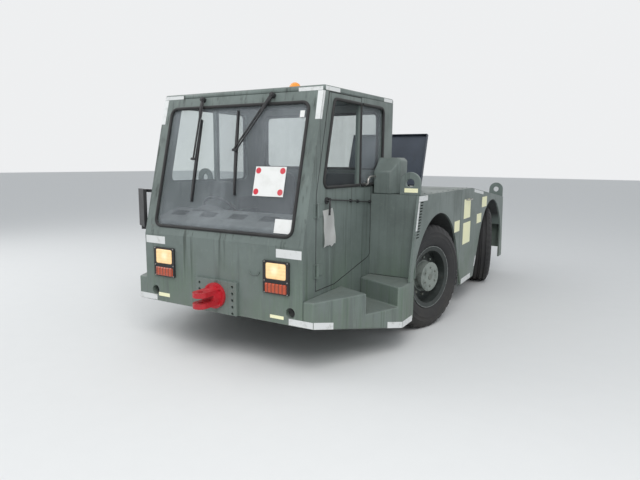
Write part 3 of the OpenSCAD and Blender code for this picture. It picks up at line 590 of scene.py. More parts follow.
@dataclass
class Layout:
    """Places and sizes that the pieces share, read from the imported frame."""

    frame: dict
    screen_top: float = 2.093
    screen_back: float = 0.283
    pane_depth: float = 0.06
    front_y: float = field(init=False)
    half_cab: float = field(init=False)
    brow_z: float = field(init=False)
    rake: float = field(init=False)
    screen_out: Vector = field(init=False)

    def __post_init__(self) -> None:
        """Reads the frame's own boxes."""
        low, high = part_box("nose")
        self.front_y = low.y
        self.half_cab = high.x
        self.brow_z = high.z
        self.rake = math.atan2(self.screen_back, self.screen_top - self.brow_z)
        self.screen_out = (self.on_screen(0, 0, 0.1) - self.on_screen(0, 0, 0)).normalized()

    def spot(self, x: float, y: float, z: float) -> Vector:
        """A place from its distance to the left, behind the front face and above the ground."""
        return Vector((x, self.front_y + y, z))

    def flank(self, side: Side, out: float, y: float, z: float) -> Vector:
        """A place that stands out from one side of the cab, as far behind the front face and as high as given."""
        return self.spot(side.value * (self.half_cab + out), y, z)

    def on_screen(self, x: float, along: float, out: float) -> Vector:
        """A place on the raked windscreen plane.

        Args:
            x: Distance to the left of the centre line.
            along: Distance up the rake from the brow seam.
            out: Distance in front of the plane.

        Returns:
            The place in the frame.
        """
        c, s = math.cos(self.rake), math.sin(self.rake)
        return self.spot(x, along * s - out * c, self.brow_z + along * c + out * s)

    def outline(self, node: str, side: Side) -> list[Flat]:
        """Convex outline, as (y, z), of a node's upright pane in one side of the cab.

        Args:
            node: The glass node.
            side: The side of the cab.

        Returns:
            The outline's points in order.
        """
        pane = self.frame["nodes"][node]
        spots = [pane.matrix_world @ vert.co for vert in pane.data.vertices]
        flat = [(p.y, p.z) for p in spots if p.x * side.value > self.half_cab - self.pane_depth]
        return [flat[i] for i in geometry.convex_hull_2d([Vector(p) for p in flat])]

    def joint(self, name: str) -> dict:
        """The record's joint of that name."""
        return next(j for j in self.frame["joints"] if j["name"] == name)


class Form:
    """A mesh in the making, in the frame's metres."""

    def __init__(self) -> None:
        """Starts empty."""
        self.mesh = bmesh.new()

    def row(self, spots: Iterable[Vector]) -> Row:
        """Adds a row of vertices."""
        return [self.mesh.verts.new(spot) for spot in spots]

    def skin(self, near: Row, far: Row, shift: int = 0, ring: bool = True) -> None:
        """Joins two rows of vertices with four-sided faces.

        Args:
            near: One row.
            far: The next row.
            shift: Where the far row starts against the near one.
            ring: Whether the rows are closed.
        """
        count = len(near)
        for i in range(count if ring else count - 1):
            j = (i + 1) % count
            self.mesh.faces.new((near[i], near[j], far[(j + shift) % count], far[(i + shift) % count]))

    def loft(self, rings: list[Row], closed: bool = False) -> None:
        """Skins rings in order, and caps both ends or joins the last ring to the first."""
        for near, far in zip(rings, rings[1:]):
            self.skin(near, far)
        if closed:
            near, far = rings[-1], rings[0]
            self.skin(near, far, min(range(len(near)), key=lambda k: (near[0].co - far[k].co).length))
        else:
            self.mesh.faces.new(rings[0])
            self.mesh.faces.new(rings[-1])

    def slab(self, centre: Vector, size: Point, turn: Matrix | None = None) -> None:
        """Adds a box.

        Args:
            centre: The middle of the box.
            size: Its three lengths.
            turn: Its rotation about its middle.
        """
        grown = Matrix.Diagonal((*size, 1.0))
        spun = (turn or Matrix.Identity(3)).to_4x4()
        bmesh.ops.create_cube(self.mesh, size=1.0, matrix=Matrix.Translation(centre) @ spun @ grown)

    def rod(self, start: Vector, end: Vector, radius: float, sides: int, tip: float | None = None) -> None:
        """Adds a closed round bar between two places, with an optional other radius at its end."""
        span = end - start
        spin = UP.rotation_difference(span.normalized()).to_matrix().to_4x4()
        bmesh.ops.create_cone(self.mesh, cap_ends=True, segments=sides, radius1=radius,
                              radius2=radius if tip is None else tip, depth=span.length,
                              matrix=Matrix.Translation((start + end) / 2) @ spin)

    def stud(self, foot: Vector, reach: Vector, radius: float, sides: int, tip: float | None = None) -> None:
        """Adds a bar that stands on a place."""
        self.rod(foot, foot + reach, radius, sides, tip)

    def sweep(self, route: Sequence[Vector], radius: float, sides: int, closed: bool = False) -> None:
        """Adds a round tube along a route.

        Args:
            route: The points it passes through.
            radius: Its radius.
            sides: Its number of sides.
            closed: Whether the route is a loop.
        """
        rings = []
        last = ASKEW
        for i, spot in enumerate(route):
            before = route[i - 1] if i > 0 or closed else spot
            after = route[(i + 1) % len(route)] if i < len(route) - 1 or closed else spot
            along = (after - before).normalized()
            last = (last - along * last.dot(along)).normalized()
            other = along.cross(last)
            rings.append(self.row(spot + last * (math.cos(a) * radius) + other * (math.sin(a) * radius)
                                  for a in (math.tau * k / sides for k in range(sides))))
        self.loft(rings, closed)

    def sheet(self, corners: Sequence[Vector], thick: float, out: Vector) -> None:
        """Adds a thin plate on an outline, raised along a direction."""
        base = self.row(corners)
        top = self.row(c + out * thick for c in corners)
        self.mesh.faces.new(base)
        self.mesh.faces.new(list(reversed(top)))
        self.skin(base, top)


class Shop:
    """Dresses mesh pieces and hangs them on a body."""

    bevel_steps = 2
    bevel_angle = math.radians(40)
    smooth_angle = math.radians(38)

    def __init__(self, layout: Layout, finishes: Finishes) -> None:
        """Keeps the shared layout and finishes."""
        self.layout = layout
        self.finishes = finishes
        self.slots = {part["material_slot"] for part in layout.frame["record"]["subparts"]}
        self.count = 0

    def fit(self, name: str, form: Form, finish: str, body: str = "hull", slot: str | None = None,
            bevel: float = 0.0, smooth: bool = False) -> bpy.types.Object:
        """Turns a form into a finished piece that rides on a body.

        Args:
            name: The piece's name.
            form: Its mesh.
            finish: The key of its finish.
            body: The body that it rides on.
            slot: The record's slot, if the finish isn't one itself. Not used.
            bevel: Width of the bevel on its edges.
            smooth: Whether the faces are shaded smooth by angle.

        Returns:
            The new object.
        """
        mesh = form.mesh
        bmesh.ops.recalc_face_normals(mesh, faces=mesh.faces)
        data = bpy.data.meshes.new(name)
        mesh.to_mesh(data)
        mesh.free()
        piece = bpy.data.objects.new(name, data)
        bpy.context.scene.collection.objects.link(piece)
        data.materials.append(self.finishes.made[finish])
        if bevel > 0.0:
            rounding = piece.modifiers.new("edge", "BEVEL")
            rounding.width = bevel
            rounding.segments = self.bevel_steps
            rounding.limit_method = "ANGLE"
            rounding.angle_limit = self.bevel_angle
        if smooth or bevel > 0.0:
            for polygon in data.polygons:
                polygon.use_smooth = True
            data.set_sharp_from_angle(angle=self.smooth_angle)
        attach(piece, body)
        if (slot or finish) in self.slots:
            slot or finish
        self.count += 1
        LOG.info("piece %s rides on %s", name, body)
        return piece


@dataclass
class Trim:
    """What every group of pieces has: the shop that makes them, and its layout."""

    shop: Shop
    lay: Layout = field(init=False)
    fit: Callable[..., bpy.types.Object] = field(init=False)

    def __post_init__(self) -> None:
        """Takes the layout and the fitting from the shop."""
        self.lay = self.shop.layout
        self.fit = self.shop.fit


def oblong(a0: float, a1: float, b0: float, b1: float) -> list[Flat]:
    """Corners of an oblong from its limits, round from its upper near one."""
    return [(a0, b1), (a1, b1), (a1, b0), (a0, b0)]


def window(x0: float, x1: float, z0: float, z1: float, radius: float, steps: int = 6) -> list[Flat]:
    """Outline of an oblong with rounded corners.

    Args:
        x0: Its lower limit across.
        x1: Its upper limit across.
        z0: Its foot.
        z1: Its top.
        radius: Radius at each corner.
        steps: Number of steps in a corner.

    Returns:
        The outline's points.
    """
    corners = [Vector(p) for p in ((x0, z0), (x1, z0), (x1, z1), (x0, z1))]
    made: list[Flat] = []
    for i, here in enumerate(corners):
        back = (corners[i - 1] - here).normalized()
        ahead = (corners[(i + 1) % len(corners)] - here).normalized()
        half = math.acos(max(-1.0, min(1.0, back.dot(ahead)))) / 2
        reach = radius / math.tan(half)
        start, end = here + back * reach, here + ahead * reach
        centre = here + (back + ahead).normalized() * (radius / math.sin(half))
        a0, a1 = (math.atan2(p.y - centre.y, p.x - centre.x) for p in (start, end))
        swing = (a1 - a0 + math.pi) % math.tau - math.pi
        made += [(centre.x + radius * math.cos(a), centre.y + radius * math.sin(a))
                 for a in (a0 + swing * k / steps for k in range(steps + 1))]
    return made


def horseshoe(points: Sequence[Flat], bar: float, near: float = 0.03) -> list[Flat]:
    """Opens an outline at its upright edge nearest to a bar.

    Args:
        points: The closed outline as (y, z).
        bar: The bar's place along y.
        near: How far from the bar that edge may lie.

    Returns:
        The points from one end of that edge round to the other.
    """
    after = [*points[1:], points[0]]
    edges = [i for i, ends in enumerate(zip(points, after)) if all(abs(y - bar) < near for y, _ in ends)]
    gap = max(edges, key=lambda i: abs(points[i][1] - after[i][1]))
    return [*points[gap + 1:], *points[:gap + 1]]


@dataclass
class Glazing(Trim):
    """Rubber seals round every pane, and the blank notices behind the windscreen."""

    seal_r: float = 0.013
    back_seal_r: float = 0.012
    screen: tuple[float, ...] = (-0.672, 0.672, 0.074, 1.058, 0.06)
    back: tuple[float, ...] = (-0.64, 0.64, 1.49, 2.005, 0.05)
    proud: float = 0.001
    door_bar: float = 0.885
    hull_bar: float = 0.905
    bar_size: Flat = (0.006, 0.013)
    bar_gap: float = 0.01
    inward: float = -0.008
    paper_thick: float = 0.0006
    disc_lift: float = 0.0012
    disc_thick: float = 0.0005
    disc_r: float = 0.023

    def build(self) -> None:
        """Makes the seals and notices, and gives the fixed panes their glass with more dust film and painted sky
        reflection.
        """
        dress(self.lay.frame["nodes"]["cab_glass"], self.shop.finishes.made["screen_glass"])
        self._tube("windscreen_seal", [self.lay.on_screen(x, a, self.proud) for x, a in window(*self.screen)],
                   self.seal_r)
        low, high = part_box("cab_back")
        for name, y in (("rear_window_seal_outer", high.y + 2 * self.proud),
                        ("rear_window_seal_inner", low.y - 2 * self.proud)):
            self._tube(name, [Vector((x, y, z)) for x, z in window(*self.back)], self.back_seal_r)
        for side in Side:
            self.side_seals(side)
        self.notices()

    def _tube(self, name: str, route: list[Vector], radius: float, body: str = "hull", closed: bool = True) -> None:
        """Makes one seal along its route."""
        form = Form()
        form.sweep(route, radius, 8, closed)
        self.fit(name, form, "seal_rubber", body, smooth=True)

    def side_seals(self, side: Side) -> None:
        """Seals of a door's window and of the pane behind it, open at the bar between them."""
        x = side.value * (self.lay.half_cab + self.proud)
        for kind, node, body, bar in (("door", f"door_glass_{side.word}", f"door_{side.word}", self.door_bar),
                                      ("quarter", "cab_glass", "hull", self.hull_bar)):
            flat = self.lay.outline(node, side)
            edge = self.lay.front_y + bar
            label = f"{kind}_window_seal_{side.word}"
            self._tube(label, [Vector((x, y, z)) for y, z in horseshoe(flat, edge)], self.seal_r, body, closed=False)
            low, high = min(z for _, z in flat), max(z for _, z in flat)
            form = Form()
            form.slab(Vector((x, edge, (high + low) / 2)), (*self.bar_size, high - low - self.bar_gap))
            self.fit(f"{label}_bar", form, "seal_rubber", body, bevel=0.002)

    def notices(self) -> None:
        """Blank notices inside the windscreen, the large one with four plain discs."""
        for name, *limits in (("windscreen_notice", 0.272, 0.546, 0.36, 0.583),
                              ("windscreen_notice_small", 0.507, 0.658, 0.097, 0.2),
                              ("windscreen_sticker", 0.598, 0.637, 0.95, 1.0)):
            form = Form()
            form.sheet([self.lay.on_screen(x, a, self.inward) for x, a in oblong(*limits)], self.paper_thick,
                       self.lay.screen_out)
            self.fit(name, form, "paper", slot="body_green")
        form = Form()
        for x in (0.3, 0.516):
            for a in (0.393, 0.552):
                form.stud(self.lay.on_screen(x, a, self.inward + self.disc_lift),
                          self.lay.screen_out * self.disc_thick, self.disc_r, 20)
        self.fit("windscreen_notice_discs", form, "disc", slot="body_green")


@dataclass
class Lamps(Trim):
    """Screws of the front lamps, and the small lip on the front panel."""

    lamp_x: float = 0.555
    screw_aside: float = 0.1
    screw_r: float = 0.0055
    screw_tip: float = 0.004
    screw_high: float = 0.003
    lip_centre: Point = (0.358, -0.004, 0.742)
    lip_size: Flat = (0.045, 0.026)
    lip_r: float = 0.004

    def build(self) -> None:
        """Dresses both front lamps and the panel."""
        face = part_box("lamps")[0].y
        for side in Side:
            form = Form()
            for aside in (-self.screw_aside, self.screw_aside):
                for z in (0.606, 0.693, 0.833):
                    form.stud(Vector((side.value * self.lamp_x + aside, face, z)), AHEAD * self.screw_high,
                              self.screw_r, 10, self.screw_tip)
            self.fit(f"lamp_screws_{side.word}", form, "bright_steel")
        form = Form()
        (x, y, z), (wide, deep) = self.lip_centre, self.lip_size
        form.sweep([self.lay.spot(x + wide * math.cos(a), y, z + deep * math.sin(a))
                    for a in (math.pi * (1.0 + k / 10) for k in range(11))], self.lip_r, 6)
        self.fit("front_panel_drip_lip", form, "body_green", smooth=True)


@dataclass
class Tape(Trim):
    """White reflective strips on corners and edges, as laid in the photograph, and the same on the other side."""

    thick: float = 0.0012
    half_skirt: float = 0.863
    flare_y: float = 0.81
    flare_z: float = 0.38
    flare_drop: float = 0.15
    roof_rise: float = 0.0248
    pillar_proud: float = 0.0005
    pillar_in: float = -0.001
    pillar_wrap: float = 0.022

    def build(self) -> None:
        """Lays every strip."""
        lay, form = self.lay, Form()
        for side in Side:
            s = side.value
            aside = Vector((s, 0, 0))
            for y, *limits in ((0.0, 0.55, 0.765, 0.868, 0.93), (0.0, 0.66, 0.862, 0.384, 0.431),
                               (0.275, 0.565, 0.768, 2.051, 2.079)):
                form.sheet([lay.spot(s * x, y, z) for x, z in oblong(*limits)], self.thick, AHEAD)
            pillar = ((0.73, 1.138), (0.775, 1.138), (0.775, 0.93), (0.735, 0.93))
            form.sheet([lay.on_screen(s * x, a, 0.0) for x, a in pillar], self.thick, lay.screen_out)
            wrap = [lay.on_screen(s * (lay.half_cab + self.pillar_proud), a, self.pillar_in) for a in (1.138, 0.93)]
            wrap += [spot - AHEAD * self.pillar_wrap for spot in reversed(wrap)]
            form.sheet(wrap, self.thick, aside)
            for y0, y1 in ((0.3, 0.52), (1.36, 1.55)):
                form.sheet([lay.flank(side, 0.0, y, z + (y - lay.screen_back) * self.roof_rise)
                            for y, z in oblong(y0, y1, 2.056, 2.085)], self.thick, aside)
            for flat in self.plate_strips():
                form.sheet([lay.spot(s * HALF_WIDTH, y, z) for y, z in flat], self.thick, aside)
            self.flare(form, s, 0.004, 0.18)
            self.flare(form, s, 0.72, 0.882)
        self.fit("reflective_tape", form, "tape", slot="body_green")

    @staticmethod
    def plate_strips() -> list[list[Flat]]:
        """Strips on the side plates, as (y, z) corners."""
        return [
            [(3.008, 1.263), (3.47, 1.215), (3.47, 1.18), (3.008, 1.228)],
            oblong(2.6, 3.0, 0.234, 0.292),
            [(3.243, 0.46), (3.183, 0.345), (3.143, 0.345), (3.203, 0.46)],
            [(1.11, 1.274), (1.33, 1.274), (1.33, 1.23), (1.102, 1.23)],
            [(1.1, 1.226), (1.135, 1.226), (1.085, 0.99), (1.047, 0.99)],
            oblong(0.814, 1.034, 0.233, 0.283),
        ]

    def flare(self, form: Form, s: int, start: float, end: float) -> None:
        """Strip along the foot of a skirt's flared side."""
        angle = math.atan2(HALF_WIDTH - self.half_skirt, self.flare_y)
        corners = []
        for along, high in oblong(start, end, 0.003, 0.053):
            y = along * math.cos(angle)
            foot = self.flare_z - self.flare_drop * min(y, self.flare_y) / self.flare_y
            corners.append(self.lay.spot(s * (self.half_skirt + along * math.sin(angle)), y, foot + high))
        form.sheet(corners, self.thick, Vector((s * math.cos(angle), -math.sin(angle), 0)))


@dataclass
class Labels(Trim):
    """Blank yellow labels on the left side and the front, and a creased paper tag on the left door."""

    thick: float = 0.001
    tag_columns: int = 9
    tag_rows: int = 14
    tag_thick: float = 0.0006

    def build(self) -> None:
        """Makes labels and tag."""
        form = Form()
        for limits in ((2.585, 2.86, 0.955, 1.165), (2.58, 2.89, 0.675, 0.91), (2.23, 2.425, 0.845, 0.96),
                       (3.193, 3.42, 0.85, 0.96), (3.427, 3.685, 1.025, 1.15)):
            form.sheet([self.lay.spot(HALF_WIDTH, y, z) for y, z in oblong(*limits)], self.thick, Vector((1, 0, 0)))
        for y, *limits in ((0.0, -0.639, -0.515, 0.425, 0.455), (0.0, 0.496, 0.616, 0.414, 0.439),
                           (1.13, 1.08, 1.198, 1.302, 1.337)):
            form.sheet([self.lay.spot(x, y, z) for x, z in oblong(*limits)], self.thick, AHEAD)
        self.fit("blank_labels", form, "label", slot="body_green")
        self.tag()

    def tag(self) -> None:
        """Paper tag that hangs on the door, curled and torn at its foot."""
        form = Form()
        dice = random.Random(5)
        rows = []
        for j in range(self.tag_rows + 1):
            v = j / self.tag_rows
            spots = []
            for i in range(self.tag_columns + 1):
                u = i / self.tag_columns
                torn = (dice.random() - 0.5) * 0.02 if j == self.tag_rows else 0.0
                curl = 0.006 + 0.007 * math.sin(u * 3.0 + v * 2.2) ** 2 + 0.004 * math.sin(v * 9.0)
                y = 0.262 + u * (0.15 + 0.03 * v) + 0.02 * math.sin(v * 2.6)
                spots.append(self.lay.flank(Side.LEFT, curl, y, 1.196 - v * 0.28 + torn + 0.012 * u))
            rows.append(form.row(spots))
        for near, far in zip(rows, rows[1:]):
            form.skin(near, far, ring=False)
        bmesh.ops.solidify(form.mesh, geom=form.mesh.faces[:], thickness=self.tag_thick)
        self.fit("door_paper_tag", form, "paper", "door_left", slot="body_green", smooth=True)


@dataclass
class DoorFittings(Trim):
    """Latch rod with its lever and guides, the rubber in the door's gap, and the pressed crease of each door."""

    rod_out: float = 0.012
    rod_front: float = 0.345
    rod_back: float = 1.104
    rod_r: float = 0.0055
    guide_out: float = 0.008
    guide_size: Point = (0.016, 0.022, 0.026)
    pivot: Flat = (0.325, 1.265)
    pivot_r: float = 0.026
    lever_r: float = 0.008
    sunk: float = -0.0015
    gap_r: float = 0.0038
    crease_y: float = 0.675
    crease_r: float = 0.0035

    def build(self) -> None:
        """Dresses both doors."""
        for side in Side:
            self.latch(side)
            form = Form()
            rim = ((0.177, 0.609), (0.177, 1.309), (0.354, 2.05), (0.895, 2.063), (0.895, 1.345), (1.121, 1.345),
                   (1.121, 0.75), (1.079, 0.729), (0.47, 0.609))
            form.sweep([self.lay.flank(side, self.sunk, y, z) for y, z in rim], self.gap_r, 6, closed=True)
            self.fit(f"door_gap_seal_{side.word}", form, "seal_rubber")
            form = Form()
            form.sweep([self.lay.flank(side, self.sunk, self.crease_y, z) for z in (0.69, 0.95, 1.233)],
                       self.crease_r, 6)
            self.fit(f"door_crease_{side.word}", form, "body_green", f"door_{side.word}", smooth=True)

    def latch(self, side: Side) -> None:
        """Rod with its guides, and the lever that pulls it."""
        lay, body = self.lay, f"door_{side.word}"
        form = Form()
        start = lay.flank(side, self.rod_out, self.rod_front, 1.272)
        end = lay.flank(side, self.rod_out, self.rod_back, 1.211)
        form.sweep([start, start.lerp(end, 0.5), end], self.rod_r, 8)
        for y in (0.36, 0.718, 0.847, 1.085):
            spot = start.lerp(end, (y - self.rod_front) / (self.rod_back - self.rod_front))
            form.slab(Vector((side.value * (lay.half_cab + self.guide_out), spot.y, spot.z)), self.guide_size)
            form.stud(spot, Vector((side.value * self.rod_out, 0, 0)), 0.005, 6)
        self.fit(f"latch_rod_{side.word}", form, "underframe_black", body, bevel=0.001)
        form = Form()
        form.sweep([lay.flank(side, out, y, z) for out, y, z in (
            (0.0, *self.pivot), (0.03, 0.325, 1.262), (0.038, 0.315, 1.235), (0.036, 0.312, 1.16))], self.lever_r, 10)
        form.rod(lay.flank(side, 0.0, *self.pivot), lay.flank(side, self.guide_out, *self.pivot), self.pivot_r, 20)
        self.fit(f"door_lever_{side.word}", form, "lamp_black", body, smooth=True)


@dataclass
class Wipers(Trim):
    """Bowed blade frames, arm sleeves and the thin link beside the single arm."""

    stations: int = 13
    sleeve: float = 0.32
    pivot_along: float = 1.119

    def build(self) -> None:
        """Dresses both wipers."""
        form = Form()
        for foot, top in (((-0.311, 0.286), (-0.328, 0.957)), ((0.111, 0.353), (0.035, 1.017))):
            self._bow(form, foot, top, 0.0045, 0.0085, 0.0115, 0.0185)
        for x, elbow in ((-0.333, (-0.338, 0.63)), (0.35, (0.071, 0.701))):
            pivot = (x, self.pivot_along)
            end = tuple(a + (b - a) * self.sleeve for a, b in zip(pivot, elbow))
            self._bow(form, pivot, end, 0.012, 0.004, 0.019, 0.034)
        form.sweep([self.lay.on_screen(-0.318, a, 0.024) for a in (1.105, 0.87, 0.64)], 0.0042, 8)
        for x in (-0.333, 0.35):
            form.rod(self.lay.on_screen(x, self.pivot_along, 0.033), self.lay.on_screen(x, self.pivot_along, 0.04),
                     0.012, 12, 0.009)
        self.fit("wiper_frames", form, "lamp_black", bevel=0.001)

    def _bow(self, form: Form, start: Flat, end: Flat, narrow: float, swell: float, low: float, high: float) -> None:
        """Adds a bar that swells towards its middle.

        Args:
            form: The form that it is added to.
            start: One end on the screen.
            end: The other end.
            narrow: Half width at the ends.
            swell: What the middle adds to it.
            low: Height of its underside above the screen.
            high: Height of its top above the screen, at its middle.
        """
        a, b = Vector(start), Vector(end)
        along = (b - a).normalized()
        side = Vector((-along.y, along.x))
        rings = []
        for k in range(self.stations):
            share = k / (self.stations - 1)
            half = narrow + swell * math.sin(math.pi * share)
            rise = low + (high - low) * (0.45 + 0.55 * math.sin(math.pi * share))
            spot = a.lerp(b, share)
            rings.append(form.row(self.lay.on_screen(*(spot + side * w), h) for w, h in (
                (-half, low), (half, low), (half * 0.6, rise), (-half * 0.6, rise))))
        form.loft(rings)


@dataclass
class Handles(Trim):
    """Bent tube handles, the seam beads of the side plates and rows of screws."""

    tube_r: float = 0.009
    tube_foot: Flat = (0.99, 1.364)
    hoop_r: float = 0.007
    hoop_z: float = 1.16
    bead_x: float = 1.2195
    tail_y: float = 4.742
    tail_top: float = 1.09
    tail_high: float = 0.86
    tail_lean: float = 0.12
    tail_screw_z: float = 1.04
    screw_r: float = 0.009
    screw_tip: float = 0.006

    def build(self) -> None:
        """Makes handles, beads and screws."""
        lay = self.lay
        tube, hoops, beads, screws = Form(), Form(), Form(), Form()
        tube.sweep([lay.flank(Side.LEFT, *p) for p in (
            (-0.002, *self.tube_foot), (0.019, *self.tube_foot), (0.031, 0.99, 1.374), (0.031, 0.992, 1.402),
            (0.031, 1.004, 1.42), (0.031, 1.03, 1.428), (0.031, 1.09, 1.43), (0.031, 1.142, 1.43))], self.tube_r, 12)
        tube.rod(*(lay.flank(Side.LEFT, out, *self.tube_foot) for out in (0.0, 0.005)), 0.019, 16)
        hoop = ((1.219, 2.657), (1.244, 2.657), (1.252, 2.667), (1.252, 2.808), (1.244, 2.818), (1.219, 2.818))
        tail = self.tail_y + (self.tail_top - self.tail_screw_z) / self.tail_high * self.tail_lean
        for s in (1, -1):
            hoops.sweep([lay.spot(s * x, y, self.hoop_z) for x, y in hoop], self.hoop_r, 10)
            beads.sweep([lay.spot(s * self.bead_x, 2.46, z) for z in (0.234, 0.7, 1.278)], 0.003, 6)
            beads.sweep([lay.spot(s * self.bead_x, y, 0.99) for y in (3.05, 3.2, 3.32)], 0.002, 6)
            for k in range(9):
                screws.stud(lay.spot(s * 1.17, 1.4 + k * 0.18, 1.28), UP * 0.004, self.screw_r, 8, self.screw_tip)
            for k in range(6):
                screws.stud(lay.spot(s * (0.2 + 0.16 * k), tail, self.tail_screw_z), AHEAD * -0.006, self.screw_r, 8,
                            self.screw_tip)
        self.fit("grab_tube_left", tube, "bright_steel", smooth=True)
        self.fit("side_handles", hoops, "bright_steel", smooth=True)
        self.fit("side_plate_seams", beads, "body_green", smooth=True)
        self.fit("deck_and_tail_screws", screws, "body_green", smooth=True)


@dataclass
class Mirror(Trim):
    """Silvered face of the side mirror, on the side that the driver sees."""

    turn: float = math.radians(-29)
    centre: Point = (-0.905, 0.1, 1.145)
    raised: float = 0.0138
    glass: tuple[float, ...] = (-0.08, 0.08, -0.15, 0.15, 0.014, 4)
    thick: float = 0.001

    def build(self) -> None:
        """Makes the glass."""
        across = Vector((math.cos(self.turn), math.sin(self.turn), 0))
        out = Vector((-math.sin(self.turn), math.cos(self.turn), 0))
        centre = self.lay.spot(*self.centre) + out * self.raised
        form = Form()
        form.sheet([centre + across * u + UP * v for u, v in window(*self.glass)], self.thick, out)
        self.fit("mirror_glass", form, "mirror_face", slot="lamp_black")


@dataclass
class RoadWheels(Trim):
    """Tyres with cut tread, hub bolts and wheel nuts, and paint that changes with the distance from the hub."""

    tyre_r: float = 0.49
    half: float = 0.14
    rim_r: float = 0.292
    steps: int = 144
    groove: float = 0.013
    notch: float = 0.014
    bead: Flat = (0.094, 0.0337)

    def build(self) -> None:
        """Dresses the four wheels."""
        for corner in ("fl", "fr", "rl", "rr"):
            joint = self.lay.joint(f"spin_{corner}")
            centre = Vector(joint["pos_m"])
            out = Vector(joint["axis"]).normalized() * (1 if corner.endswith("l") else -1)
            spin = Matrix((out, UP.cross(out), UP)).transposed()
            to_frame = Matrix.Translation(centre) @ spin.to_4x4()
            self.tyre(corner, to_frame)
            self.studs(corner, to_frame)
            paint = WheelPaint(f"wheel_paint_{corner}", tuple(centre), tuple(out)).make()
            dress(self.lay.frame["nodes"][f"wheel_{corner}"], paint)

    def section(self, notched: bool) -> list[Flat]:
        """The tyre's profile, from one wall over the tread to the other and back inside.

        Args:
            notched: Whether a gap between lugs is cut into the shoulders there.

        Returns:
            The points as (offset, radius).
        """
        wall = ((0.028, 0.002), (0.012, 0.02), (0.004, 0.045), (0.001, 0.06), (0.0, 0.085), (-0.002, 0.09),
                (0.001, 0.095), (0.003, 0.125), (0.0, 0.13), (0.004, 0.135))
        shoulder = ((0.02, 0.022), (0.03, 0.008), (0.046, 0.0))
        tread = ((0.07, 0), (0.066, 1), (0.054, 1), (0.05, 0), (0.02, 0), (0.016, 1), (0.006, 1), (0.002, 0))
        half = [(self.half - inset, self.rim_r + rise) for inset, rise in wall]
        half += [(self.half - inset, self.tyre_r - drop - self.notch * notched) for inset, drop in shoulder]
        half += [(offset, self.tyre_r - self.groove * sunk) for offset, sunk in tread]
        offset, depth = self.bead
        inner = [(-offset, self.rim_r - depth), (offset, self.rim_r - depth)]
        return half + [(-x, r) for x, r in reversed(half)] + inner

    def tyre(self, corner: str, to_frame: Matrix) -> None:
        """One tyre, revolved, with ribs on its walls and lugs cut into the tread."""
        form = Form()
        rings = []
        for k in range(self.steps):
            turn = math.tau * k / self.steps
            rings.append(form.row(to_frame @ Vector((x, r * math.cos(turn), r * math.sin(turn)))
                                  for x, r in self.section(k % 4 == 0)))
        for near, far in zip(rings, rings[1:] + rings[:1]):
            form.skin(near, far)
        piece = self.fit(f"tyre_tread_{corner}", form, "tyre_rubber", f"wheel_{corner}", smooth=True)
        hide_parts(f"tyre_{corner}")

    def studs(self, corner: str, to_frame: Matrix) -> None:
        """Bolts on the hub's face, nuts in the dish, the cap and the valve."""
        form = Form()
        for count, radius, face, height, size in ((6, 0.088, 0.1145, 0.008, 0.009), (10, 0.178, 0.022, 0.02, 0.013)):
            for k in range(count):
                a = math.tau * (k + 0.5) / count
                foot = Vector((face, radius * math.cos(a), radius * math.sin(a)))
                form.rod(to_frame @ foot, to_frame @ (foot + Vector((height, 0, 0))), size, 6)
        form.rod(to_frame @ Vector((0.113, 0, 0)), to_frame @ Vector((0.121, 0, 0)), 0.03, 24, 0.026)
        form.rod(to_frame @ Vector((0.0, 0.225, 0)), to_frame @ Vector((0.05, 0.235, 0)), 0.005, 8)
        self.fit(f"hub_bolts_{corner}", form, "wheel_green", f"wheel_{corner}", bevel=0.001)


@dataclass
class Seats(Trim):
    """Two seats with crowned cushions on boxed pedestals."""

    seat_x: float = 0.38
    base_size: Point = (0.46, 0.47, 0.136)
    back_size: Point = (0.45, 0.112, 0.54)
    cuts: int = 15
    crown: float = 0.14
    flat: float = 0.86
    squareness: float = 6.0
    groove_at: float = 0.56
    groove_half: float = 0.06
    groove_depth: float = 0.12

    def build(self) -> None:
        """Makes both seats."""
        for side in Side:
            x = side.value * self.seat_x
            base = self._cushion(self.lay.spot(x, 1.075, 0.852), self.base_size, upright=False)
            piece = self.fit(f"seat_cushion_{side.word}", base, "seat_cloth", smooth=True)
            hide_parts("seats")
            back = self._cushion(self.lay.spot(x, 1.343, 1.178), self.back_size, upright=True)
            piece = self.fit(f"seat_back_{side.word}", back, "seat_cloth", smooth=True)
            form = Form()
            form.slab(self.lay.spot(x, 1.1, 0.686), (0.34, 0.4, 0.17))
            form.slab(self.lay.spot(x, 1.1, 0.776), (0.4, 0.42, 0.02))
            self.fit(f"seat_pedestal_{side.word}", form, "underframe_black", bevel=0.006)

    def _cushion(self, centre: Vector, size: Point, upright: bool) -> Form:
        """A crowned cushion with two sewn grooves.

        Args:
            centre: Its middle.
            size: Its full lengths.
            upright: Whether the crown faces forwards, and not up.

        Returns:
            The form.
        """
        form = Form()
        mesh = form.mesh
        bmesh.ops.create_cube(mesh, size=2.0)
        bmesh.ops.subdivide_edges(mesh, edges=mesh.edges, cuts=self.cuts, use_grid_fill=True)
        for vert in mesh.verts:
            length = sum(abs(c) ** self.squareness for c in vert.co) ** (1 / self.squareness)
            u, v, w = (c / length for c in vert.co)
            groove = self.groove_depth * max(0.0, 1 - abs(abs(u) - self.groove_at) / self.groove_half)
            other = w if upright else v
            crown = self.flat * (1 + self.crown * (1 - u * u) * (1 - other * other) - groove)
            if upright:
                v *= crown
            else:
                w *= crown
            vert.co = centre + Vector((u * size[0] / 2, v * size[1] / 2, w * size[2] / 2))
        return form


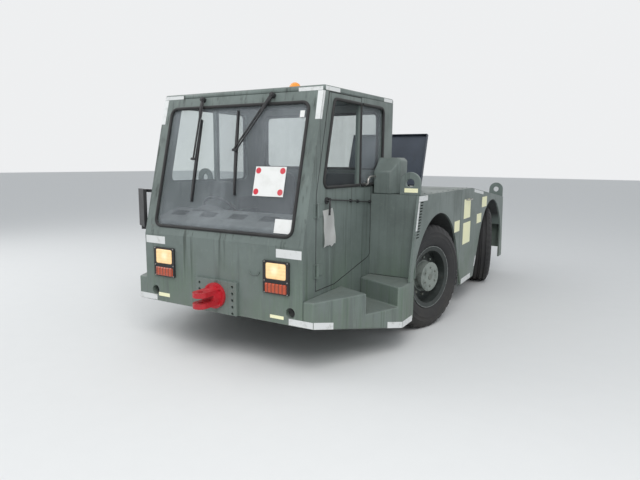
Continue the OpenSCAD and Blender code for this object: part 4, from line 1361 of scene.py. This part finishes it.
@dataclass
class CabTrim(Trim):
    """The dash's top pad with its air vents, the gauge hood and the pedals."""

    half_pad: float = 0.725
    vent_z: float = 1.113
    vent_size: Point = (0.15, 0.085, 0.005)
    slat_size: Point = (0.136, 0.0045, 0.006)
    hood_centre: Point = (-0.38, 0.37, 1.125)
    hood_size: Flat = (0.16, 0.05)
    hood_thick: float = 0.006
    hood_steps: int = 14
    pedal_size: Point = (0.07, 0.012, 0.09)

    def build(self) -> None:
        """Makes the trim that shows through the glass."""
        lay, pad, frames, slats, pedals = self.lay, Form(), Form(), Form(), Form()
        section = ((0.07, 1.02), (0.075, 1.055), (0.1, 1.075), (0.28, 1.14), (0.345, 1.142), (0.372, 1.125),
                   (0.374, 1.08), (0.3, 1.06))
        pad.loft([pad.row(lay.spot(x, y, z) for y, z in section) for x in (-self.half_pad, self.half_pad)])
        self.fit("dash_top_pad", pad, "dash_grey", bevel=0.008)
        turn = Matrix.Rotation(math.atan2(0.065, 0.18), 3, "X")
        for x in (-0.565, -0.25, 0.05, 0.353):
            middle = lay.spot(x, 0.2, self.vent_z)
            frames.slab(middle, self.vent_size, turn)
            for k in range(5):
                shift = turn @ Vector((0, -0.028 + 0.014 * k, 0.005))
                slats.slab(middle + shift, self.slat_size, turn)
        self.fit("dash_vent_frames", frames, "lamp_black", bevel=0.001)
        self.fit("dash_vent_slats", slats, "seal_rubber")
        self.gauge_hood()
        turn = Matrix.Rotation(math.radians(-35), 3, "X")
        for x in (-0.45, -0.3):
            plate = lay.spot(x, 0.42, 0.69)
            pedals.slab(plate, self.pedal_size, turn)
            pedals.rod(plate, lay.spot(x, 0.345, 0.74), 0.008, 8)
        self.fit("pedals", pedals, "lamp_black", bevel=0.003)

    def gauge_hood(self) -> None:
        """Arched hood over the gauges."""
        form = Form()
        (x, y, z), (wide, high) = self.hood_centre, self.hood_size
        arch = [self.lay.spot(x + wide * math.cos(a), y, z + high * math.sin(a))
                for a in (math.pi * k / self.hood_steps for k in range(self.hood_steps + 1))]
        near, far = form.row(arch), form.row(p + Vector((0, -0.12, -0.03)) for p in arch)
        form.skin(near, far, ring=False)
        form.mesh.faces.new(list(reversed(far)))
        bmesh.ops.solidify(form.mesh, geom=form.mesh.faces[:], thickness=self.hood_thick)
        self.fit("gauge_hood", form, "dash_grey", smooth=True)


@dataclass
class EngineBay(Trim):
    """Hoses, belt, pipes and leads of the engine under the open lid."""

    belt_y: float = 1.683
    belt_r: float = 0.006
    hose_steps: int = 4

    def build(self) -> None:
        """Makes them."""
        for name, radius, route in (
            ("radiator_hose_top", 0.024, ((0.2, 1.655, 1.13), (0.2, 1.69, 1.15), (0.12, 1.73, 1.15),
                                          (0.02, 1.76, 1.145), (0.0, 1.8, 1.165))),
            ("radiator_hose_foot", 0.024, ((-0.22, 1.655, 0.76), (-0.24, 1.7, 0.76), (-0.24, 1.78, 0.8),
                                           (-0.2, 1.82, 0.83))),
            ("air_duct", 0.042, ((0.47, 2.098, 1.1), (0.47, 2.13, 1.1), (0.44, 2.155, 1.1), (0.36, 2.15, 1.105),
                                 (0.27, 2.1, 1.11), (0.236, 2.06, 1.11))),
            ("battery_lead", 0.007, ((-0.56, 1.79, 1.06), (-0.54, 1.8, 1.09), (-0.48, 1.85, 1.08),
                                     (-0.36, 1.92, 1.0), (-0.27, 1.95, 0.9))),
        ):
            form = Form()
            form.sweep(self.eased([self.lay.spot(*p) for p in route]), radius, 12)
            self.fit(name, form, "hose_rubber", smooth=True)
        self.belt()
        self.pipes()

    def eased(self, spots: list[Vector]) -> list[Vector]:
        """A smooth route through some places.

        Args:
            spots: The places, in order.

        Returns:
            The route's points.
        """
        fine = []
        for i, (p1, p2) in enumerate(zip(spots, spots[1:])):
            p0, p3 = spots[max(i - 1, 0)], spots[min(i + 2, len(spots) - 1)]
            bend = 2 * p0 - 5 * p1 + 4 * p2 - p3
            twist = 3 * p1 - p0 - 3 * p2 + p3
            for t in (k / self.hose_steps for k in range(self.hose_steps)):
                fine.append(0.5 * (2 * p1 + (p2 - p0) * t + bend * t * t + twist * t ** 3))
        return [*fine, spots[-1]]

    def belt(self) -> None:
        """Belt from the crankshaft's pulley to the small one."""
        route = []
        for x, z, radius, start, swing, steps in ((0.0, 0.76, 0.093, -115, 190, 11), (-0.15, 0.95, 0.048, 75, 170, 7)):
            for k in range(steps + 1):
                a = math.radians(start + swing * k / steps)
                route.append(self.lay.spot(x + radius * math.cos(a), self.belt_y, z + radius * math.sin(a)))
        form = Form()
        form.sweep(route, self.belt_r, 6, closed=True)
        self.fit("engine_belt", form, "hose_rubber", smooth=True)

    def pipes(self) -> None:
        """Six injector pipes, and the nuts of the rocker cover."""
        form = Form()
        bends = ((-0.17, 0.0, 1.02), (-0.15, 0.005, 1.09), (-0.12, 0.012, 1.135), (-0.08, 0.012, 1.172))
        for y in (1.79 + 0.087 * k for k in range(6)):
            form.sweep([self.lay.spot(x, y + shift, z) for x, shift, z in bends], 0.004, 6)
        for s in (1, -1):
            for k in range(4):
                form.stud(self.lay.spot(s * 0.06, 1.79 + 0.145 * k, 1.169), UP * 0.009, 0.009, 6)
        self.fit("injector_pipes", form, "bright_steel", smooth=True)


@dataclass
class SoftEdges(Trim):
    """Copies of bent plate and castings with rounded edges, each in the place of its sharp solid."""

    weld: float = 1e-5
    flat_angle: float = math.radians(1.0)

    def build(self) -> None:
        """Makes every copy."""
        for node, body, finish, width in (
            ("skirts", "hull", "body_green", 0.012), ("intake_hood", "hull", "body_green", 0.01),
            ("roof", "hull", "body_green", 0.009), ("front_coupling", "hull", "coupling_red", 0.005),
            ("rear_coupling", "hull", "coupling_red", 0.005), ("coupling_plate", "hull", "body_green", 0.003),
            ("lugs", "hull", "body_green", 0.004), ("hatch_left", "hatch_left", "lid_slate", 0.005),
            ("hatch_right", "hatch_right", "lid_slate", 0.005),
        ):
            form = Form()
            mesh = form.mesh
            mesh.from_mesh(self.lay.frame["nodes"][node].data)
            bmesh.ops.remove_doubles(mesh, verts=mesh.verts, dist=self.weld)
            bmesh.ops.dissolve_limit(mesh, angle_limit=self.flat_angle, verts=mesh.verts[:], edges=mesh.edges[:])
            piece = self.fit(f"{node}_rounded", form, finish, body, bevel=width)
            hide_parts(node)


@dataclass
class Studio:
    """Camera of the photograph, pale floor and soft light."""

    layout: Layout
    finishes: Finishes
    eye: Point = (2.634, -3.025, 1.542)
    yaw: float = -29.66
    pitch: float = 8.474
    roll: float = 0.596
    lens: float = 29.2
    film: float = 36.0
    far: float = 200.0
    floor_half: float = 60.0
    sky: tuple[Colour, float] = ((0.9, 0.95, 1.0), 0.62)
    backdrop: tuple[Colour, float] = ((0.93, 0.94, 0.95), 0.92)
    aim: Point = (0.0, -0.5, 0.9)

    def build(self) -> None:
        """Sets the whole stage."""
        self.camera()
        self.floor()
        self.light()
        bpy.context.scene.view_settings.view_transform = "Standard"

    @staticmethod
    def put(name: str, data: bpy.types.ID) -> bpy.types.Object:
        """Puts an object with that name and data into the scene."""
        made = bpy.data.objects.new(name, data)
        bpy.context.scene.collection.objects.link(made)
        return made

    def camera(self) -> None:
        """The photograph's camera, from its fitted place and turn."""
        yaw, pitch, roll = (math.radians(v) for v in (self.yaw, self.pitch, self.roll))
        ahead = Vector((math.sin(yaw) * math.cos(pitch), math.cos(yaw) * math.cos(pitch), -math.sin(pitch)))
        right = Vector((math.cos(yaw), -math.sin(yaw), 0.0))
        up = right.cross(ahead)
        right_r = right * math.cos(roll) + up * math.sin(roll)
        up_r = up * math.cos(roll) - right * math.sin(roll)
        turn = Matrix((right_r, up_r, -ahead)).transposed()
        data = bpy.data.cameras.new("photo_camera")
        data.sensor_width = self.film
        data.lens = self.lens
        data.clip_end = self.far
        camera = self.put("photo_camera", data)
        camera.matrix_world = Matrix.Translation(self.layout.spot(*self.eye)) @ turn.to_4x4()
        bpy.context.scene.camera = camera

    def floor(self) -> None:
        """Pale floor under the wheels."""
        mesh = bmesh.new()
        bmesh.ops.create_grid(mesh, x_segments=1, y_segments=1, size=self.floor_half)
        data = bpy.data.meshes.new("studio_floor")
        mesh.to_mesh(data)
        mesh.free()
        data.materials.append(self.finishes.made["floor"])
        floor = self.put("studio_floor", data)

    def light(self) -> None:
        """Overcast sky with a pale backdrop for what sees it, a key lamp from the front left and a fill lamp."""
        tree = Tree(bpy.data.worlds.new("overcast"), "ShaderNodeOutputWorld")
        seen = tree.node("ShaderNodeLightPath", out="Is Camera Ray")
        for ray in ("Is Transmission Ray", "Is Glossy Ray"):
            seen = tree.maths("MAXIMUM", seen, tree.node("ShaderNodeLightPath", out=ray))
        sky, backdrop = (tree.node("ShaderNodeBackground", None, {"Color": colour, "Strength": strength})
                         for colour, strength in (self.sky, self.backdrop))
        bpy.context.scene.world = tree.finish(tree.blend(seen, sky, backdrop))
        for name, place, size, power in (("key_lamp", (4.0, -6.5, 7.0), 5.0, 420.0),
                                         ("fill_lamp", (-6.0, -3.0, 5.0), 6.0, 160.0)):
            data = bpy.data.lights.new(name, "AREA")
            data.size = size
            data.energy = power
            lamp = self.put(name, data)
            lamp.location = place
            lamp.rotation_euler = (Vector(self.aim) - Vector(place)).to_track_quat("-Z", "Y").to_euler()


def main() -> None:
    """Builds every sub-assembly in order."""
    logging.basicConfig(level=logging.INFO, format="%(message)s")
    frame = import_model()
    layout = Layout(frame)
    finishes = Finishes()
    finishes.build()
    Studio(layout, finishes).build()
    finishes.dress_nodes(frame)
    shop = Shop(layout, finishes)
    for kind in (Glazing, Lamps, Tape, Labels, DoorFittings, Wipers, Handles, Mirror, RoadWheels, Seats, CabTrim,
                 EngineBay, SoftEdges):
        kind(shop).build()
        LOG.info("built %s", kind.__name__)
    LOG.info("%d pieces in all", shop.count)


if __name__ == "__main__":
    main()
